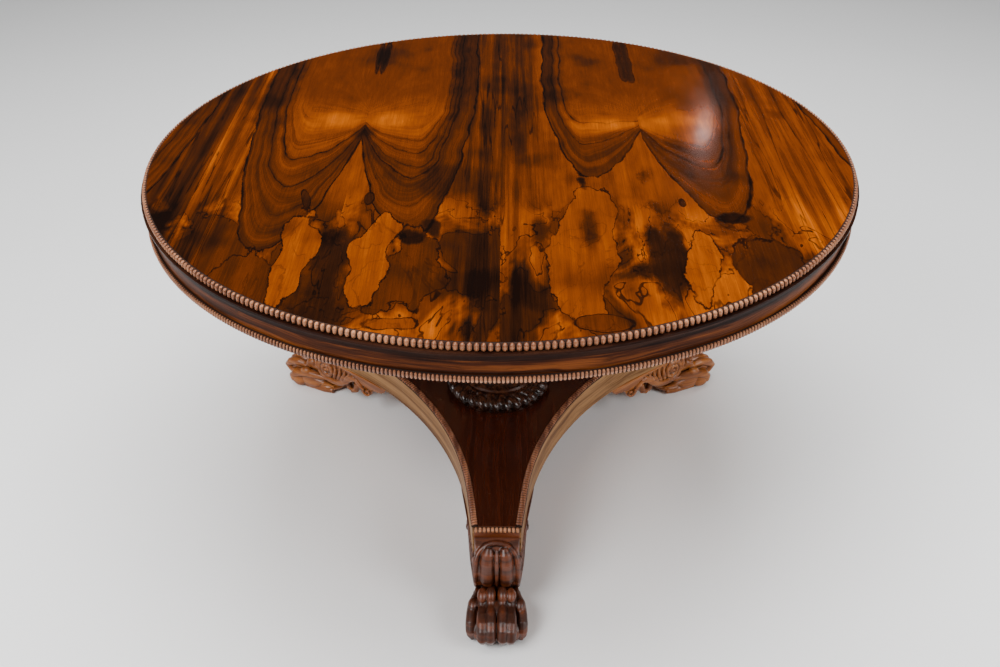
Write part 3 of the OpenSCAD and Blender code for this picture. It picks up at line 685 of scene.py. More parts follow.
        uneven = g.step(g.cloud(plain, (0.02, 0.012, 0.01), (8.0, 3.0, 1.0)), 0.3, 0.65, 0.5, 1.5)
        thin = uneven / rate
        ink = g.step(abs(over) * thin, 0.9, 2.8, 0.95, 0.0)
        wavy = depth + ragged * 36.0
        within = g.step(over, -4.0, 0.0, 1.0, 0.0)
        for line in self.lines:
            near = abs(wavy - line.depth) * thin
            mask = masks[line.leaves[0]] * within
            ink = g.larger(ink, g.step(near, line.width * 0.3, line.width, line.ink, 0.0) * mask)
            tone = tone - g.step(near, 0.0, line.width * 6.0, 0.16 * line.ink, 0.0) * mask
        for at, width in self.veins:
            vein = g.step(abs(marble - at), width * 0.3, width, 0.85, 0.0)
            ink = g.larger(ink, vein * (below * past_border))
        stripe = g.noise(g.join(u * 0.024, v * 0.0009, own + 7.0), detail=3.0, rough=0.55)
        stroke = g.step(abs(stripe - 0.5), 0.004, 0.013, 0.75, 0.0)
        ink = g.larger(ink, stroke * (seam_zone * past_border))

        wobble = ragged + slow * 2.1
        for patch in self.patches:
            mask = masks[patch.leaves[0]]
            for leaf in patch.leaves[1:]:
                mask = mask + masks[leaf]
            if patch.leaves == ALL_LEAVES:
                mask = 1.0 - rim
            shape = self._patch(g, patch, u, v, wobble, mask)
            streaky = patch.tone + (streaks - 0.5) * 0.45
            tone = g.lerp(g.step(shape, -0.2 * patch.soft, patch.soft), tone, streaky)
            if patch.edge > 0.0:
                ink = ink * g.step(shape, 0.0, 0.06, 1.0, 0.35)
                ink = g.larger(ink, g.step(abs(shape), patch.edge * 0.3, patch.edge, 0.9, 0.0))
        return tone, ink

    def material(self, effects: SharedEffects) -> bpy.types.Material:
        """Builds the material.

        Args:
            effects: The shared node groups.

        Returns:
            The material.
        """
        made, g = new_material(self.name)
        place = g.place()
        tone, ink = self._figure(g, place)
        fine = g.cloud(place, (0.5, 0.014, 0.0), detail=3.0, rough=0.6)
        mottle = g.cloud(place, (0.022, 0.01, 0.0), detail=4.0, rough=0.6)
        smoke = g.step(g.cloud(place, (0.007, 0.005, 0.0), (9.0, 4.0, 0.0)), 0.54, 0.72)
        tone = tone + (fine - 0.5) * 0.3 + (mottle - 0.5) * 0.3
        broken = g.step(g.cloud(place, (0.05, 0.02, 0.0)), 0.3, 0.55, 0.5, 1.0)
        pores = g.step(g.cloud(place, (1.4, 0.07, 0.0), detail=1.0), 0.66, 0.78)
        colour = g.ramp(g.math("SUBTRACT", tone, smoke * 0.22, clamp=True), self.tones)
        colour = g.mix(ink * broken, colour, self.ink)
        colour = g.mix(pores * 0.4, colour, self.pores)
        polish = g.group(effects.polish, Vector=place, Gloss=self.gloss)
        g.surface({"Base Color": colour, "Roughness": polish["Roughness"], "Specular IOR Level": 0.2,
                   "Coat Weight": 0.12, "Coat Roughness": 0.08,
                   "Normal": g.bump(polish["Height"], 0.05, 0.0004)})
        return made


class Finishes:
    """Every material of the table, built once."""

    def __init__(self) -> None:
        """Builds the shared effects and all materials."""
        effects = SharedEffects()
        self.top = BookMatchedVeneer().material(effects)
        self.frieze = WoodFinish(
            "Frieze rosewood", (0.17, 0.046, 0.009), (0.07, 0.0165, 0.004), (0.018, 0.005, 0.0018),
            grain=Grain.ROUND, ink=0.6, gloss=0.38, specular=0.05).material(effects)
        # The cove takes a far darker copy of the frieze rosewood: partly the wood's deep colour, partly
        # painted shade under the bead row.
        self.cove = WoodFinish(
            "Cove rosewood, with painted shade", (0.035, 0.012, 0.006), (0.018, 0.0055, 0.003), (0.008, 0.0026, 0.0015),
            grain=Grain.ROUND, ink=0.4, gloss=0.38, specular=0.04).material(effects)
        self.beads = WoodFinish(
            "Bead rosewood", (0.4, 0.175, 0.085), (0.25, 0.095, 0.043), (0.11, 0.035, 0.016),
            grain=Grain.ROUND, figure=0.8, ink=0.3, gloss=0.24, gap_shade=0.95).material(effects)
        self.base_beads = WoodFinish(
            "Edge bead rosewood", (0.34, 0.14, 0.07), (0.2, 0.073, 0.036), (0.08, 0.025, 0.013),
            grain=Grain.ALONG_Y, ink=0.3, gloss=0.24, gap_shade=0.95).material(effects)
        self.deck = WoodFinish(
            "Deck rosewood", (0.06, 0.0125, 0.005), (0.036, 0.0075, 0.003), (0.016, 0.004, 0.002),
            grain=Grain.ALONG_Y, figure=0.5, ink=0.2, gloss=0.24, coat=0.25).material(effects)
        self.faded = WoodFinish(
            "Faded rosewood", (0.34, 0.18, 0.075), (0.22, 0.105, 0.04), (0.11, 0.044, 0.017),
            grain=Grain.LEVEL, ink=0.25, pores=0.6, gloss=0.45, specular=0.1).material(effects)
        self.carved = WoodFinish(
            "Carved rosewood", (0.15, 0.034, 0.008), (0.06, 0.0135, 0.0042), (0.022, 0.006, 0.0026),
            grain=Grain.LEVEL, figure=0.8, ink=0.15, pores=0.4, gloss=0.4, carved=1.0,
            specular=0.5).material(effects)
        # A lighter, warmer copy of the carved rosewood for the two side feet: painted light, set against the
        # darker copy on the front foot.
        self.carved_painted_lighter = WoodFinish(
            "Carved rosewood, painted lighter", (0.44, 0.15, 0.03), (0.27, 0.082, 0.017), (0.12, 0.033, 0.009),
            grain=Grain.LEVEL, figure=0.7, ink=0.12, pores=0.4, gloss=0.34, carved=1.0,
            specular=0.45).material(effects)
        self.turned = WoodFinish(
            "Turned rosewood", (0.06, 0.02, 0.009), (0.028, 0.009, 0.0046), (0.01, 0.0035, 0.0022),
            grain=Grain.ALONG_Z, ink=0.6, gloss=0.26, coat=0.2, carved=0.8).material(effects)
        self.mahogany = WoodFinish(
            "Mahogany ground", (0.34, 0.15, 0.07), (0.24, 0.095, 0.043), (0.13, 0.05, 0.024),
            grain=Grain.ALONG_Y, ink=0.1, pores=0.7, gloss=0.55).material(effects)
        self.pine = WoodFinish(
            "Old pine", (0.5, 0.33, 0.17), (0.39, 0.23, 0.11), (0.24, 0.125, 0.055),
            ink=0.25, pores=0.15, gloss=0.62).material(effects)
        self.beech = WoodFinish(
            "Old beech", (0.5, 0.34, 0.2), (0.4, 0.25, 0.14), (0.28, 0.16, 0.085),
            ink=0.0, gloss=0.55).material(effects)
        self.brass = MetalFinish("Old brass", (0.72, 0.5, 0.2), (0.3, 0.19, 0.075), 0.3).material(effects)
        self.iron = MetalFinish("Dark iron", (0.2, 0.19, 0.18), (0.07, 0.055, 0.045), 0.5).material(effects)


def turn_z(degrees: float) -> Matrix:
    """A turn about Z."""
    return Matrix.Rotation(math.radians(degrees), 4, "Z")


def mirrored(points: Sequence[Point], side: float) -> list[Point]:
    """Points laid to one side of the XZ plane."""
    return [(x, side * y, z) for x, y, z in points]


def link_object(name: str, data: bpy.types.ID) -> bpy.types.Object:
    """Puts a new object into the scene.

    Args:
        name: Its name.
        data: Its mesh, light or camera.

    Returns:
        The object.
    """
    made = bpy.data.objects.new(name, data)
    bpy.context.scene.collection.objects.link(made)
    return made


@dataclass
class Shape:
    """A solid under construction, in millimetres."""

    bm: bmesh.types.BMesh = field(default_factory=bmesh.new)

    def ball(self, centre: Point, radii: Point, tilt: float = 0.0, detail: int = 3) -> None:
        """Adds an ellipsoid.

        Args:
            centre: Its middle.
            radii: Its half sizes.
            tilt: Its turn about Y, in degrees.
            detail: Subdivisions.
        """
        spun = Euler((0.0, math.radians(tilt), 0.0)).to_matrix().to_4x4()
        place = Matrix.Translation(centre) @ spun @ Matrix.Diagonal((*radii, 1.0))
        bmesh.ops.create_icosphere(self.bm, subdivisions=detail, radius=1.0, matrix=place)

    def tube(self, points: Sequence[Point], radii: Sequence[float], normal: Point = (0.0, 1.0, 0.0),
             flat: float = 1.0, sides: int = 14) -> None:
        """Sweeps a round or flattened section along a line of points.

        Args:
            points: The line.
            radii: The section's radius at each point.
            normal: The direction in which the section is flattened.
            flat: The section's thickness along normal as a share of its width.
            sides: Corners of the section.
        """
        line = [Vector(p) for p in points]
        up = Vector(normal).normalized()
        places = []
        for i, point in enumerate(line):
            along = (line[min(i + 1, len(line) - 1)] - line[max(i - 1, 0)]).normalized()
            side = along.cross(up).normalized()
            lift = side.cross(along).normalized()
            r = max(radii[i], 0.2)
            turned = Matrix((side * r, lift * r * flat, along * r)).transposed().to_4x4()
            places.append(Matrix.Translation(point) @ turned)
        made = bmesh.ops.create_circle(self.bm, cap_ends=True, segments=sides, radius=1.0, matrix=places[0])
        face = made["verts"][0].link_faces[0]
        for before, after in zip(places, places[1:]):
            grown = bmesh.ops.extrude_face_region(self.bm, geom=[face])["geom"]
            verts = [e for e in grown if isinstance(e, bmesh.types.BMVert)]
            face = next(e for e in grown if isinstance(e, bmesh.types.BMFace))
            bmesh.ops.transform(self.bm, matrix=after @ before.inverted(), verts=verts)

    def slab(self, outline: Sequence[FlatPoint], half_width: Callable[[float], float]) -> None:
        """Raises an outline in the XZ plane to a solid of a varying width.

        Args:
            outline: Its corners, x and z.
            half_width: Half the width at a given x.
        """
        verts = [self.bm.verts.new((x, -half_width(x), z)) for x, z in outline]
        face = self.bm.faces.new(verts)
        grown = bmesh.ops.extrude_face_region(self.bm, geom=[face])["geom"]
        for vert in (e for e in grown if isinstance(e, bmesh.types.BMVert)):
            vert.co.y = half_width(vert.co.x)

    def lathe(self, profile: Sequence[FlatPoint], steps: int, closed: bool = False) -> None:
        """Turns a profile of radius and height about Z.

        Args:
            profile: Its points.
            steps: Segments of the full turn.
            closed: Whether the last point joins the first.
        """
        verts = [self.bm.verts.new((r, 0.0, z)) for r, z in profile]
        pairs = list(zip(verts, verts[1:]))
        if closed:
            pairs.append((verts[-1], verts[0]))
        edges = [self.bm.edges.new(pair) for pair in pairs]
        bmesh.ops.spin(self.bm, geom=verts + edges, cent=(0, 0, 0), axis=(0, 0, 1), angle=math.tau,
                       steps=steps, use_merge=True)

    def barrel(self, radius: float, length: float, steps: int = 10) -> None:
        """Adds an upright bead, swelling in its middle, on the origin of an empty shape.

        Args:
            radius: Its greatest radius.
            length: Its length.
            steps: Segments round it.
        """
        # crown is 1 on the bead's front and back and 0 at its sides, where it meets its neighbours; the bead
        # finishes paint shade in the gaps and a highlight on the crown from it. Vertices added later, such as
        # the strips, carry 0.
        crown = self.bm.verts.layers.float.new("crown")
        profile = [(0.0, 0.0), (0.6, 0.04), (0.92, 0.22), (1.0, 0.5), (0.92, 0.78), (0.6, 0.96), (0.0, 1.0)]
        self.lathe([(radius * r, length * z) for r, z in profile], steps)
        for vert in self.bm.verts:
            vert[crown] = 1.0 - min(abs(vert.co.y) / radius, 1.0)

    def repeat(self, places: Sequence[Matrix]) -> None:
        """Replaces what is built so far by one copy of it at each place.

        Args:
            places: A matrix for each copy.
        """
        first = self.bm.verts[:] + self.bm.edges[:] + self.bm.faces[:]
        start = [e for e in first if isinstance(e, bmesh.types.BMVert)]
        for place in places[1:]:
            copy = bmesh.ops.duplicate(self.bm, geom=first)["geom"]
            verts = [e for e in copy if isinstance(e, bmesh.types.BMVert)]
            bmesh.ops.transform(self.bm, matrix=place, verts=verts)
        bmesh.ops.transform(self.bm, matrix=places[0], verts=start)

    def mesh(self, name: str) -> bpy.types.Mesh:
        """Ends the work and returns the mesh in metres, its normals outwards.

        Args:
            name: The mesh's name.

        Returns:
            The mesh.
        """
        bmesh.ops.remove_doubles(self.bm, verts=self.bm.verts, dist=0.002)
        bmesh.ops.recalc_face_normals(self.bm, faces=self.bm.faces)
        bmesh.ops.scale(self.bm, vec=(MM, MM, MM), verts=self.bm.verts)
        made = bpy.data.meshes.new(name)
        self.bm.to_mesh(made)
        self.bm.free()
        return made


def melt(mesh: bpy.types.Mesh, voxel: float, rounds: int) -> bpy.types.Mesh:
    """Joins the overlapping solids of a mesh into one skin and softens it, as carving does.

    Args:
        mesh: The solids.
        voxel: Cell size in millimetres.
        rounds: Rounds of smoothing.

    Returns:
        The new mesh.
    """
    holder = link_object("Carving", mesh)
    skin = holder.modifiers.new("Skin", "REMESH")
    skin.mode = "VOXEL"
    skin.voxel_size = voxel * MM
    skin.use_smooth_shade = True
    soft = holder.modifiers.new("Soft", "SMOOTH")
    soft.factor = 0.5
    soft.iterations = rounds
    bpy.context.view_layer.update()
    ready = holder.evaluated_get(bpy.context.evaluated_depsgraph_get())
    made = bpy.data.meshes.new_from_object(ready)
    bpy.data.objects.remove(holder)
    return made


def place_piece(name: str, mesh: bpy.types.Mesh, material: bpy.types.Material, body: Body,
                nodes: Sequence[str]) -> None:
    """Puts a finished mesh into the scene as a piece of the table.

    Args:
        name: The piece's name.
        mesh: Its mesh, in place.
        material: Its material.
        body: The body it rides on.
        nodes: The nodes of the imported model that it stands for.
    """
    mesh.name = name
    mesh.materials.clear()
    mesh.materials.append(material)
    mesh.shade_smooth()
    made = link_object(name, mesh)
    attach(made, body.value)
    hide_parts(*nodes)
    LOG.info("%s: %d faces, on %s", name, len(mesh.polygons), body.value)


def dress_nodes(material: bpy.types.Material, *names: str) -> None:
    """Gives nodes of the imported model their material.

    Args:
        material: The material.
        names: The nodes' names.
    """
    for name in names:
        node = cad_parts[name]
        node.data.materials.clear()
        node.data.materials.append(material)
        LOG.info("%s: dressed with %s", name, material.name)


@dataclass(frozen=True)
class BeadRing:
    """A ring of upright beads on its strip."""

    name: str
    node: str
    count: int
    radius: float
    length: float
    ring: float
    bottom: float
    back: float
    strip_steps: int = 180

    def build(self, finish: bpy.types.Material) -> None:
        """Builds the ring as one piece.

        Args:
            finish: Its material.
        """
        shape = Shape()
        shape.barrel(self.radius, self.length)
        start = Matrix.Translation((self.ring, 0.0, self.bottom))
        shape.repeat([Matrix.Rotation(math.tau * i / self.count, 4, "Z") @ start for i in range(self.count)])
        # The strip carries no crown, so the bead finish paints it with the dark gap shade.
        face = self.ring + 0.4
        shape.lathe([(self.back, self.bottom), (face, self.bottom), (face, self.bottom + self.length - 1.2),
                     (self.back, self.bottom + self.length - 0.4)], self.strip_steps, closed=True)
        place_piece(self.name, shape.mesh(self.name), finish, Body.TOP, [self.node])


@dataclass
class TableTop:
    """The tilting top: veneer, ground, edge mouldings and frieze."""

    finishes: Finishes
    rings: tuple[BeadRing, ...] = (
        BeadRing("Top_edge_beads", "top_bead_ring", 410, 4.25, 13.0, 652.2, TOP_HEIGHT - 13.0,
                 SURFACE_RADIUS),
        BeadRing("Frieze_foot_beads", "lower_bead_ring", 648, 2.75, 11.0, 654.2, 669.5,
                 SURFACE_RADIUS + 2.0))

    def build(self) -> None:
        """Builds the bead rings and dresses the nodes."""
        for ring in self.rings:
            ring.build(self.finishes.beads)
        dress_nodes(self.finishes.top, "veneer_leaves")
        dress_nodes(self.finishes.mahogany, "top_ground")
        dress_nodes(self.finishes.cove, "cove_moulding")
        dress_nodes(self.finishes.frieze, "frieze_veneer")
        dress_nodes(self.finishes.pine, "frieze_ring", "glue_blocks")


@dataclass
class TiltWork:
    """The block, pins, bearers, catches and screws under the top."""

    finishes: Finishes

    def build(self) -> None:
        """Dresses the nodes of the tilting work."""
        dress_nodes(self.finishes.mahogany, "tilt_block", "bearer_right", "bearer_left")
        dress_nodes(self.finishes.beech, "hinge_pins", "tenon_wedges")
        dress_nodes(self.finishes.brass, "keep_plates", "keep_screws", "catch_cases", "catch_screws",
                    "catch_bolt_right", "catch_bolt_left")
        dress_nodes(self.finishes.iron, "bearer_screws")


@dataclass
class Pedestal:
    """The turned column and the gadrooned collar at its foot."""

    finishes: Finishes
    lobes: int = 28
    lobe_radii: tuple[float, ...] = (5.0, 6.8, 8.2, 9.4, 10.4, 11.3, 12.0, 12.3, 11.4)
    collar_radius: float = 113.0
    collar_height: float = 34.0
    foot_radius: float = 78.0
    lean: float = 9.0
    voxel: float = 1.3
    rounds: int = 6

    def collar(self) -> None:
        """Builds the ring of leaning lobes on its bed."""
        shape = Shape()
        last = len(self.lobe_radii) - 1
        line = []
        for i in range(last + 1):
            t = i / last
            quarter = t * math.pi / 2
            turn = math.radians(self.lean) * t
            r = self.foot_radius + 6.0 + (self.collar_radius - self.foot_radius - 17.5) * math.sin(quarter)
            z = self.collar_height - 8.0 - (self.collar_height - 20.0) * (1.0 - math.cos(quarter))
            line.append((r * math.cos(turn), r * math.sin(turn), z))
        shape.tube(line, self.lobe_radii, normal=UPWARDS, flat=0.95)
        x, y, z = line[-1]
        shape.ball((x + 0.5, y, z + 0.6), (11.0, 11.8, 11.6), detail=2)
        up = Matrix.Translation((0.0, 0.0, DECK_HEIGHT))
        shape.repeat([up @ Matrix.Rotation(math.tau * i / self.lobes, 4, "Z") for i in range(self.lobes)])
        bed = [(self.foot_radius, 0.3), (self.collar_radius - 6.0, 0.3), (self.collar_radius - 9.0, 9.0),
               (self.foot_radius + 16.0, 24.0), (self.foot_radius + 8.0, 33.0), (self.foot_radius, 33.5)]
        shape.lathe([(r, DECK_HEIGHT + z) for r, z in bed], 4 * self.lobes, closed=True)
        mesh = melt(shape.mesh("Collar"), self.voxel, self.rounds)
        place_piece("Gadrooned_collar", mesh, self.finishes.turned, Body.BASE,
                    ["gadroon_collar"])

    def build(self) -> None:
        """Builds the collar and dresses the column."""
        self.collar()
        dress_nodes(self.finishes.turned, "column")


@dataclass
class Platform:
    """The three-armed platform with its bead mouldings."""

    finishes: Finishes
    side_centre: float = 870.0
    side_radius: float = 702.0
    side_angle: float = 23.0
    arm: float = 440.0
    edge_width: float = 11.0
    edge_pitch: float = 6.7
    edge_radius: float = 3.1
    edge_length: float = 12.2
    edge_dip: float = 97.0
    end_count: int = 11
    end_radius: float = 3.6
    end_length: float = 12.0

    @property
    def arm_turn(self) -> float:
        """The angle at which a side's arc ends, from its arm."""
        return math.radians(60.0 + self.side_angle)

    @property
    def side_offset(self) -> float:
        """How far the centre of a side's arc lies from an arm's middle line."""
        return self.side_centre * math.sin(math.radians(60.0))

    def tangent(self) -> FlatPoint:
        """Where a side's arc ends on its arm: distance from the column and half the arm's width."""
        return (self.side_centre * 0.5 - self.side_radius * math.cos(self.arm_turn),
                self.side_offset - self.side_radius * math.sin(self.arm_turn))

    def arm_half(self, r: float) -> float:
        """Half the width of an arm.

        Args:
            r: Distance from the column.

        Returns:
            The half width, in millimetres.
        """
        start, half = self.tangent()
        if r > start:
            return half - (r - start) / math.tan(self.arm_turn)
        return self.side_offset - math.sqrt(self.side_radius ** 2 - (r - self.side_centre * 0.5) ** 2)

    def on_side(self, length: float, off: float) -> Matrix:
        """A place on a concave side's edge.

        Args:
            length: Distance along the side from its middle.
            off: Distance out from the side.

        Returns:
            A matrix whose X points out of the side.
        """
        arc = self.side_radius * math.radians(self.side_angle)
        held = max(-arc, min(arc, length))
        a = held / self.side_radius
        past = length - held
        r = self.side_radius - off
        x = self.side_centre - r * math.cos(a) + abs(past) * math.sin(abs(a))
        y = r * math.sin(a) + past * math.cos(a)
        return Matrix.Translation((x, y, 0.0)) @ Matrix.Rotation(-a, 4, "Z")

    def edge_row(self) -> None:
        """Builds the beads along the three concave edges, on their strips."""
        start, _ = self.tangent()
        reach = (self.side_radius * math.radians(self.side_angle)
                 + (self.arm - start) / math.sin(self.arm_turn))
        count = int((reach - 0.4 * self.edge_pitch) / self.edge_pitch)
        dip = Matrix.Rotation(math.radians(self.edge_dip), 4, "Y") @ Matrix.Translation((0.0, 0.0, -5.4))
        lift = Matrix.Translation((0.0, 0.0, DECK_HEIGHT - 0.3))
        shape = Shape()
        shape.barrel(self.edge_radius, self.edge_length)
        shape.repeat([turn_z(side) @ lift @ self.on_side(i * self.edge_pitch, -self.edge_width / 2) @ dip
                      for side in SIDE_TURNS for i in range(-count, count + 1)])
        # The strips carry no crown, so the bead finish paints them with the dark gap shade.
        stops = [reach * (i / 24.0 - 1.0) for i in range(49)]
        bed = Vector((0.0, 0.0, DECK_HEIGHT - 3.4))
        for side in SIDE_TURNS:
            line = [turn_z(side) @ self.on_side(s, -5.0) @ bed for s in stops]
            shape.tube(line, [6.6] * len(line), normal=UPWARDS, flat=0.4, sides=4)
        place_piece("Deck_edge_beads", shape.mesh("Edge"), self.finishes.base_beads, Body.BASE,
                    ["edge_beads"])

    def end_rows(self) -> None:
        """Builds the short row of upright beads across the end of each arm."""
        half = self.arm_half(self.arm) - 3.0
        pitch = 2.0 * half / self.end_count
        low = DECK_HEIGHT - self.end_length - 1.0
        shape = Shape()
        shape.barrel(self.end_radius, self.end_length, 12)
        shape.repeat([turn_z(arm) @ Matrix.Translation((self.arm + 3.7, (i + 0.5) * pitch - half, low))
                      for arm in ARM_TURNS for i in range(self.end_count)])
        # The end strips carry no crown, so the bead finish paints them with the dark gap shade.
        ends = [Vector((self.arm + 1.9, y, low + self.end_length / 2)) for y in (-half, half)]
        for arm in ARM_TURNS:
            line = [turn_z(arm) @ end for end in ends]
            shape.tube(line, [2.6, 2.6], normal=UPWARDS, flat=3.0, sides=4)
        place_piece("Arm_end_beads", shape.mesh("Ends"), self.finishes.beads, Body.BASE,
                    ["end_beads"])

    def build(self) -> None:
        """Builds the bead rows and dresses the nodes."""
        self.edge_row()
        self.end_rows()
        dress_nodes(self.finishes.carved, "platform_core")
        dress_nodes(self.finishes.deck, "deck_veneer")
        dress_nodes(self.finishes.faded, "side_facings")


@dataclass
class LionFoot:
    """One carved foot: the scroll bracket under an arm and the paw it stands on."""

    finishes: Finishes
    platform: Platform
    volute: FlatPoint = (455.0, 77.0)
    volute_radius: float = 31.0
    volute_turns: float = 2.1
    volute_steps: int = 54
    scroll: FlatPoint = (322.0, 69.0)
    scroll_steps: int = 28
    bracket_voxel: float = 1.1
    bracket_rounds: int = 5
    paw_voxel: float = 1.15
    paw_rounds: int = 6
    names: tuple[str, ...] = ("front", "right", "left")
    knee_line: tuple[FlatPoint, ...] = (
        (484.0, 68.0), (486.0, 84.0), (485.0, 98.0), (480.5, 114.0), (471.0, 128.0), (456.0, 143.0),
        (440.3, 151.0))
    under_line: tuple[FlatPoint, ...] = (
        (256.0, 109.6), (258.0, 103.0), (267.0, 91.0), (281.0, 86.5), (300.0, 84.0), (307.0, 74.0),
        (313.0, 62.0), (324.0, 57.0), (336.0, 62.0), (346.0, 74.0), (358.0, 81.0), (370.0, 78.0),
        (382.0, 67.0), (394.0, 56.0), (410.0, 47.0), (428.0, 43.0), (446.0, 45.0), (462.0, 47.0),
        (476.0, 55.0))
    flush_line: tuple[FlatPoint, ...] = (
        (256.0, 109.6), (259.0, 102.0), (270.0, 91.5), (285.0, 88.0), (300.0, 86.0), (310.0, 81.0),
        (324.0, 85.5), (335.0, 83.0), (346.0, 92.0), (360.0, 98.0), (380.0, 102.0), (405.0, 104.5),
        (430.0, 106.5), (440.0, 109.6))
    fan: tuple[tuple[FlatPoint, ...], ...] = (
        ((431.0, 60.0), (424.0, 72.0), (420.0, 86.0), (424.0, 100.0)),
        ((421.0, 61.0), (411.0, 71.0), (405.0, 85.0), (408.0, 101.0)),
        ((410.0, 64.0), (399.0, 72.0), (391.0, 85.0), (392.0, 100.0)),
        ((400.0, 70.0), (389.0, 76.0), (379.0, 87.0), (377.0, 99.0)),
        ((391.0, 77.0), (380.0, 82.0), (369.0, 91.0), (362.0, 98.0)))

    def scroll_band(self, shape: Shape, side: float) -> None:
        """Lays the ribbon that leaves the small scroll as an S and winds up into the volute.

        Args:
            shape: The solid it goes into.
            side: The side, -1 or 1.
        """
        half = self.platform.arm_half
        eye_x, eye_z = self.volute
        path = [(333.0, 60.0), (337.0, 70.0), (345.0, 80.0), (356.0, 87.5), (367.0, 87.5), (379.0, 80.0),
                (391.0, 68.5), (404.0, 58.5), (419.0, 52.0), (436.0, 50.0)]
        width = [3.4, 5.0, 6.2, 7.0, 7.5, 7.8, 8.0, 8.0, 7.6, 7.0]
        for i in range(self.volute_steps + 1):
            t = i / self.volute_steps
            a = math.radians(-86.0 + 360.0 * self.volute_turns * t)
            r = (self.volute_radius - 4.6) * (1.0 - t) ** 0.9 + 1.0
            path.append((eye_x + r * math.cos(a), eye_z + r * math.sin(a)))
            width.append(6.3 - 3.0 * t)
        shape.tube([(x, side * (half(x) - 2.2), z) for x, z in path], width, flat=0.72)
        shape.ball((eye_x, side * (half(eye_x) + 0.2), eye_z), (4.6, 3.8, 4.6), detail=2)
        x, z = self.scroll
        curl = []
        size = []
        for i in range(self.scroll_steps + 1):
            t = i / self.scroll_steps
            a = math.radians(40.0 - 470.0 * t)
            r = 10.5 * (1.0 - t) ** 0.9 + 0.5
            curl.append((x + r * math.cos(a), side * (half(x) - 0.8), z + r * math.sin(a)))
            size.append(3.4 - 1.2 * t)
        shape.tube(curl, size, flat=0.9, sides=10)

    def leaves(self, shape: Shape, side: float) -> None:
        """Lays the fan of curved leaves between the crest of the band and the volute.

        Args:
            shape: The solid they go into.
            side: The side, -1 or 1.
        """
        for corners in self.fan:
            points = []
            radii = []
            for i in range(10):
                t = i / 9
                weights = ((1 - t) ** 3, 3 * (1 - t) ** 2 * t, 3 * (1 - t) * t ** 2, t ** 3)
                x = sum(w * p[0] for w, p in zip(weights, corners))
                z = sum(w * p[1] for w, p in zip(weights, corners))
                y = self.platform.arm_half(x) - 3.4 + 1.6 * math.sin(math.pi * t)
                points.append((x, side * y, z))
                radii.append(1.2 + 4.0 * math.sin(math.pi * (0.15 + 0.8 * t)) ** 1.2)
            shape.tube(points, radii, flat=0.95, sides=12)

    def knee(self, shape: Shape) -> None:
        """Lays the two lobes, the rib and the hood on the front of the knee.

        Args:
            shape: The solid they go into.
        """
        for y in (-17.5, 17.5):
            lobe = [(463.0, y * 0.8, 144.0), (469.0, y * 0.92, 134.0), (475.0, y, 118.0), (478.0, y, 100.0),
                    (480.0, y, 82.0), (480.0, y * 0.95, 68.0)]
            shape.tube(lobe, [7.0, 12.5, 14.6, 15.2, 14.4, 10.5], normal=ALONG)
        rib = [(468.0, 0.0, 144.0), (483.0, 0.0, 128.0), (490.0, 0.0, 106.0), (491.0, 0.0, 84.0),
               (489.0, 0.0, 70.0)]
        shape.tube(rib, [3.4, 4.2, 3.8, 3.0, 1.2], normal=ALONG, flat=1.2)
        arch = []
        for i in range(15):
            a = math.pi * i / 14
            arch.append((478.5 - 25.0 * math.sin(a), 39.5 * math.cos(a), 117.0 + 31.0 * math.sin(a)))
        legs = [(484.0, 40.0, 76.0), (482.5, 40.0, 96.0)]
        line = legs + arch + mirrored(reversed(legs), -1.0)
        shape.tube(line, [4.2, 5.0] + [5.0] * len(arch) + [5.0, 4.2], normal=ALONG, flat=1.1)

    def under_leaf(self, shape: Shape) -> None:
        """Hangs the curled leaf under the bracket.

        Args:
            shape: The solid it goes into.
        """
        for y, drop, out in ((0.0, 0.0, 0.0), (-13.0, 2.0, -2.0), (13.0, 2.0, -2.0), (-25.0, 5.0, -4.0),
                             (25.0, 5.0, -4.0), (-36.0, 13.0, -12.0), (36.0, 13.0, -12.0)):
            blade = [(350.0, y * 0.85, 82.0), (360.0, y * 0.95, 62.0), (372.0 + out * 0.4, y, 45.0 + drop),
                     (385.0 + out, y, 29.0 + drop), (396.0 + out, y, 23.0 + drop),
                     (403.0 + out, y, 27.0 + drop)]
            shape.tube(blade, [9.0, 9.5, 9.0, 8.0, 6.5, 3.6], flat=0.8)
        for y in (-30.0, -10.0, 10.0, 30.0):
            shape.tube([(402.0, y, 54.0), (396.0, y, 40.0), (398.0, y, 30.0)], [8.0, 8.0, 4.0])
        for side in SIDES:
            shape.ball((272.0, side * 52.0, 95.0), (11.0, 10.0, 9.0))
            shape.ball((289.0, side * 50.0, 91.0), (9.0, 10.0, 7.0))

    def bracket(self) -> bpy.types.Mesh:
        """Builds the bracket of the arm that points along X.

        Returns:
            Its mesh.
        """
        shape = Shape()
        half = self.platform.arm_half
        shape.slab(self.under_line + self.knee_line + ((440.3, 109.6),), lambda x: half(x) - 5.0)
        shape.slab(self.flush_line, lambda x: half(x) - 0.2)
        shape.slab(((445.0, 60.0), (475.0, 55.0)) + self.knee_line + ((440.3, 100.0),),
                   lambda x: half(x) - 2.6)
        for side in SIDES:
            self.scroll_band(shape, side)
            self.leaves(shape, side)
        self.knee(shape)
        self.under_leaf(shape)
        return melt(shape.mesh("Bracket"), self.bracket_voxel, self.bracket_rounds)

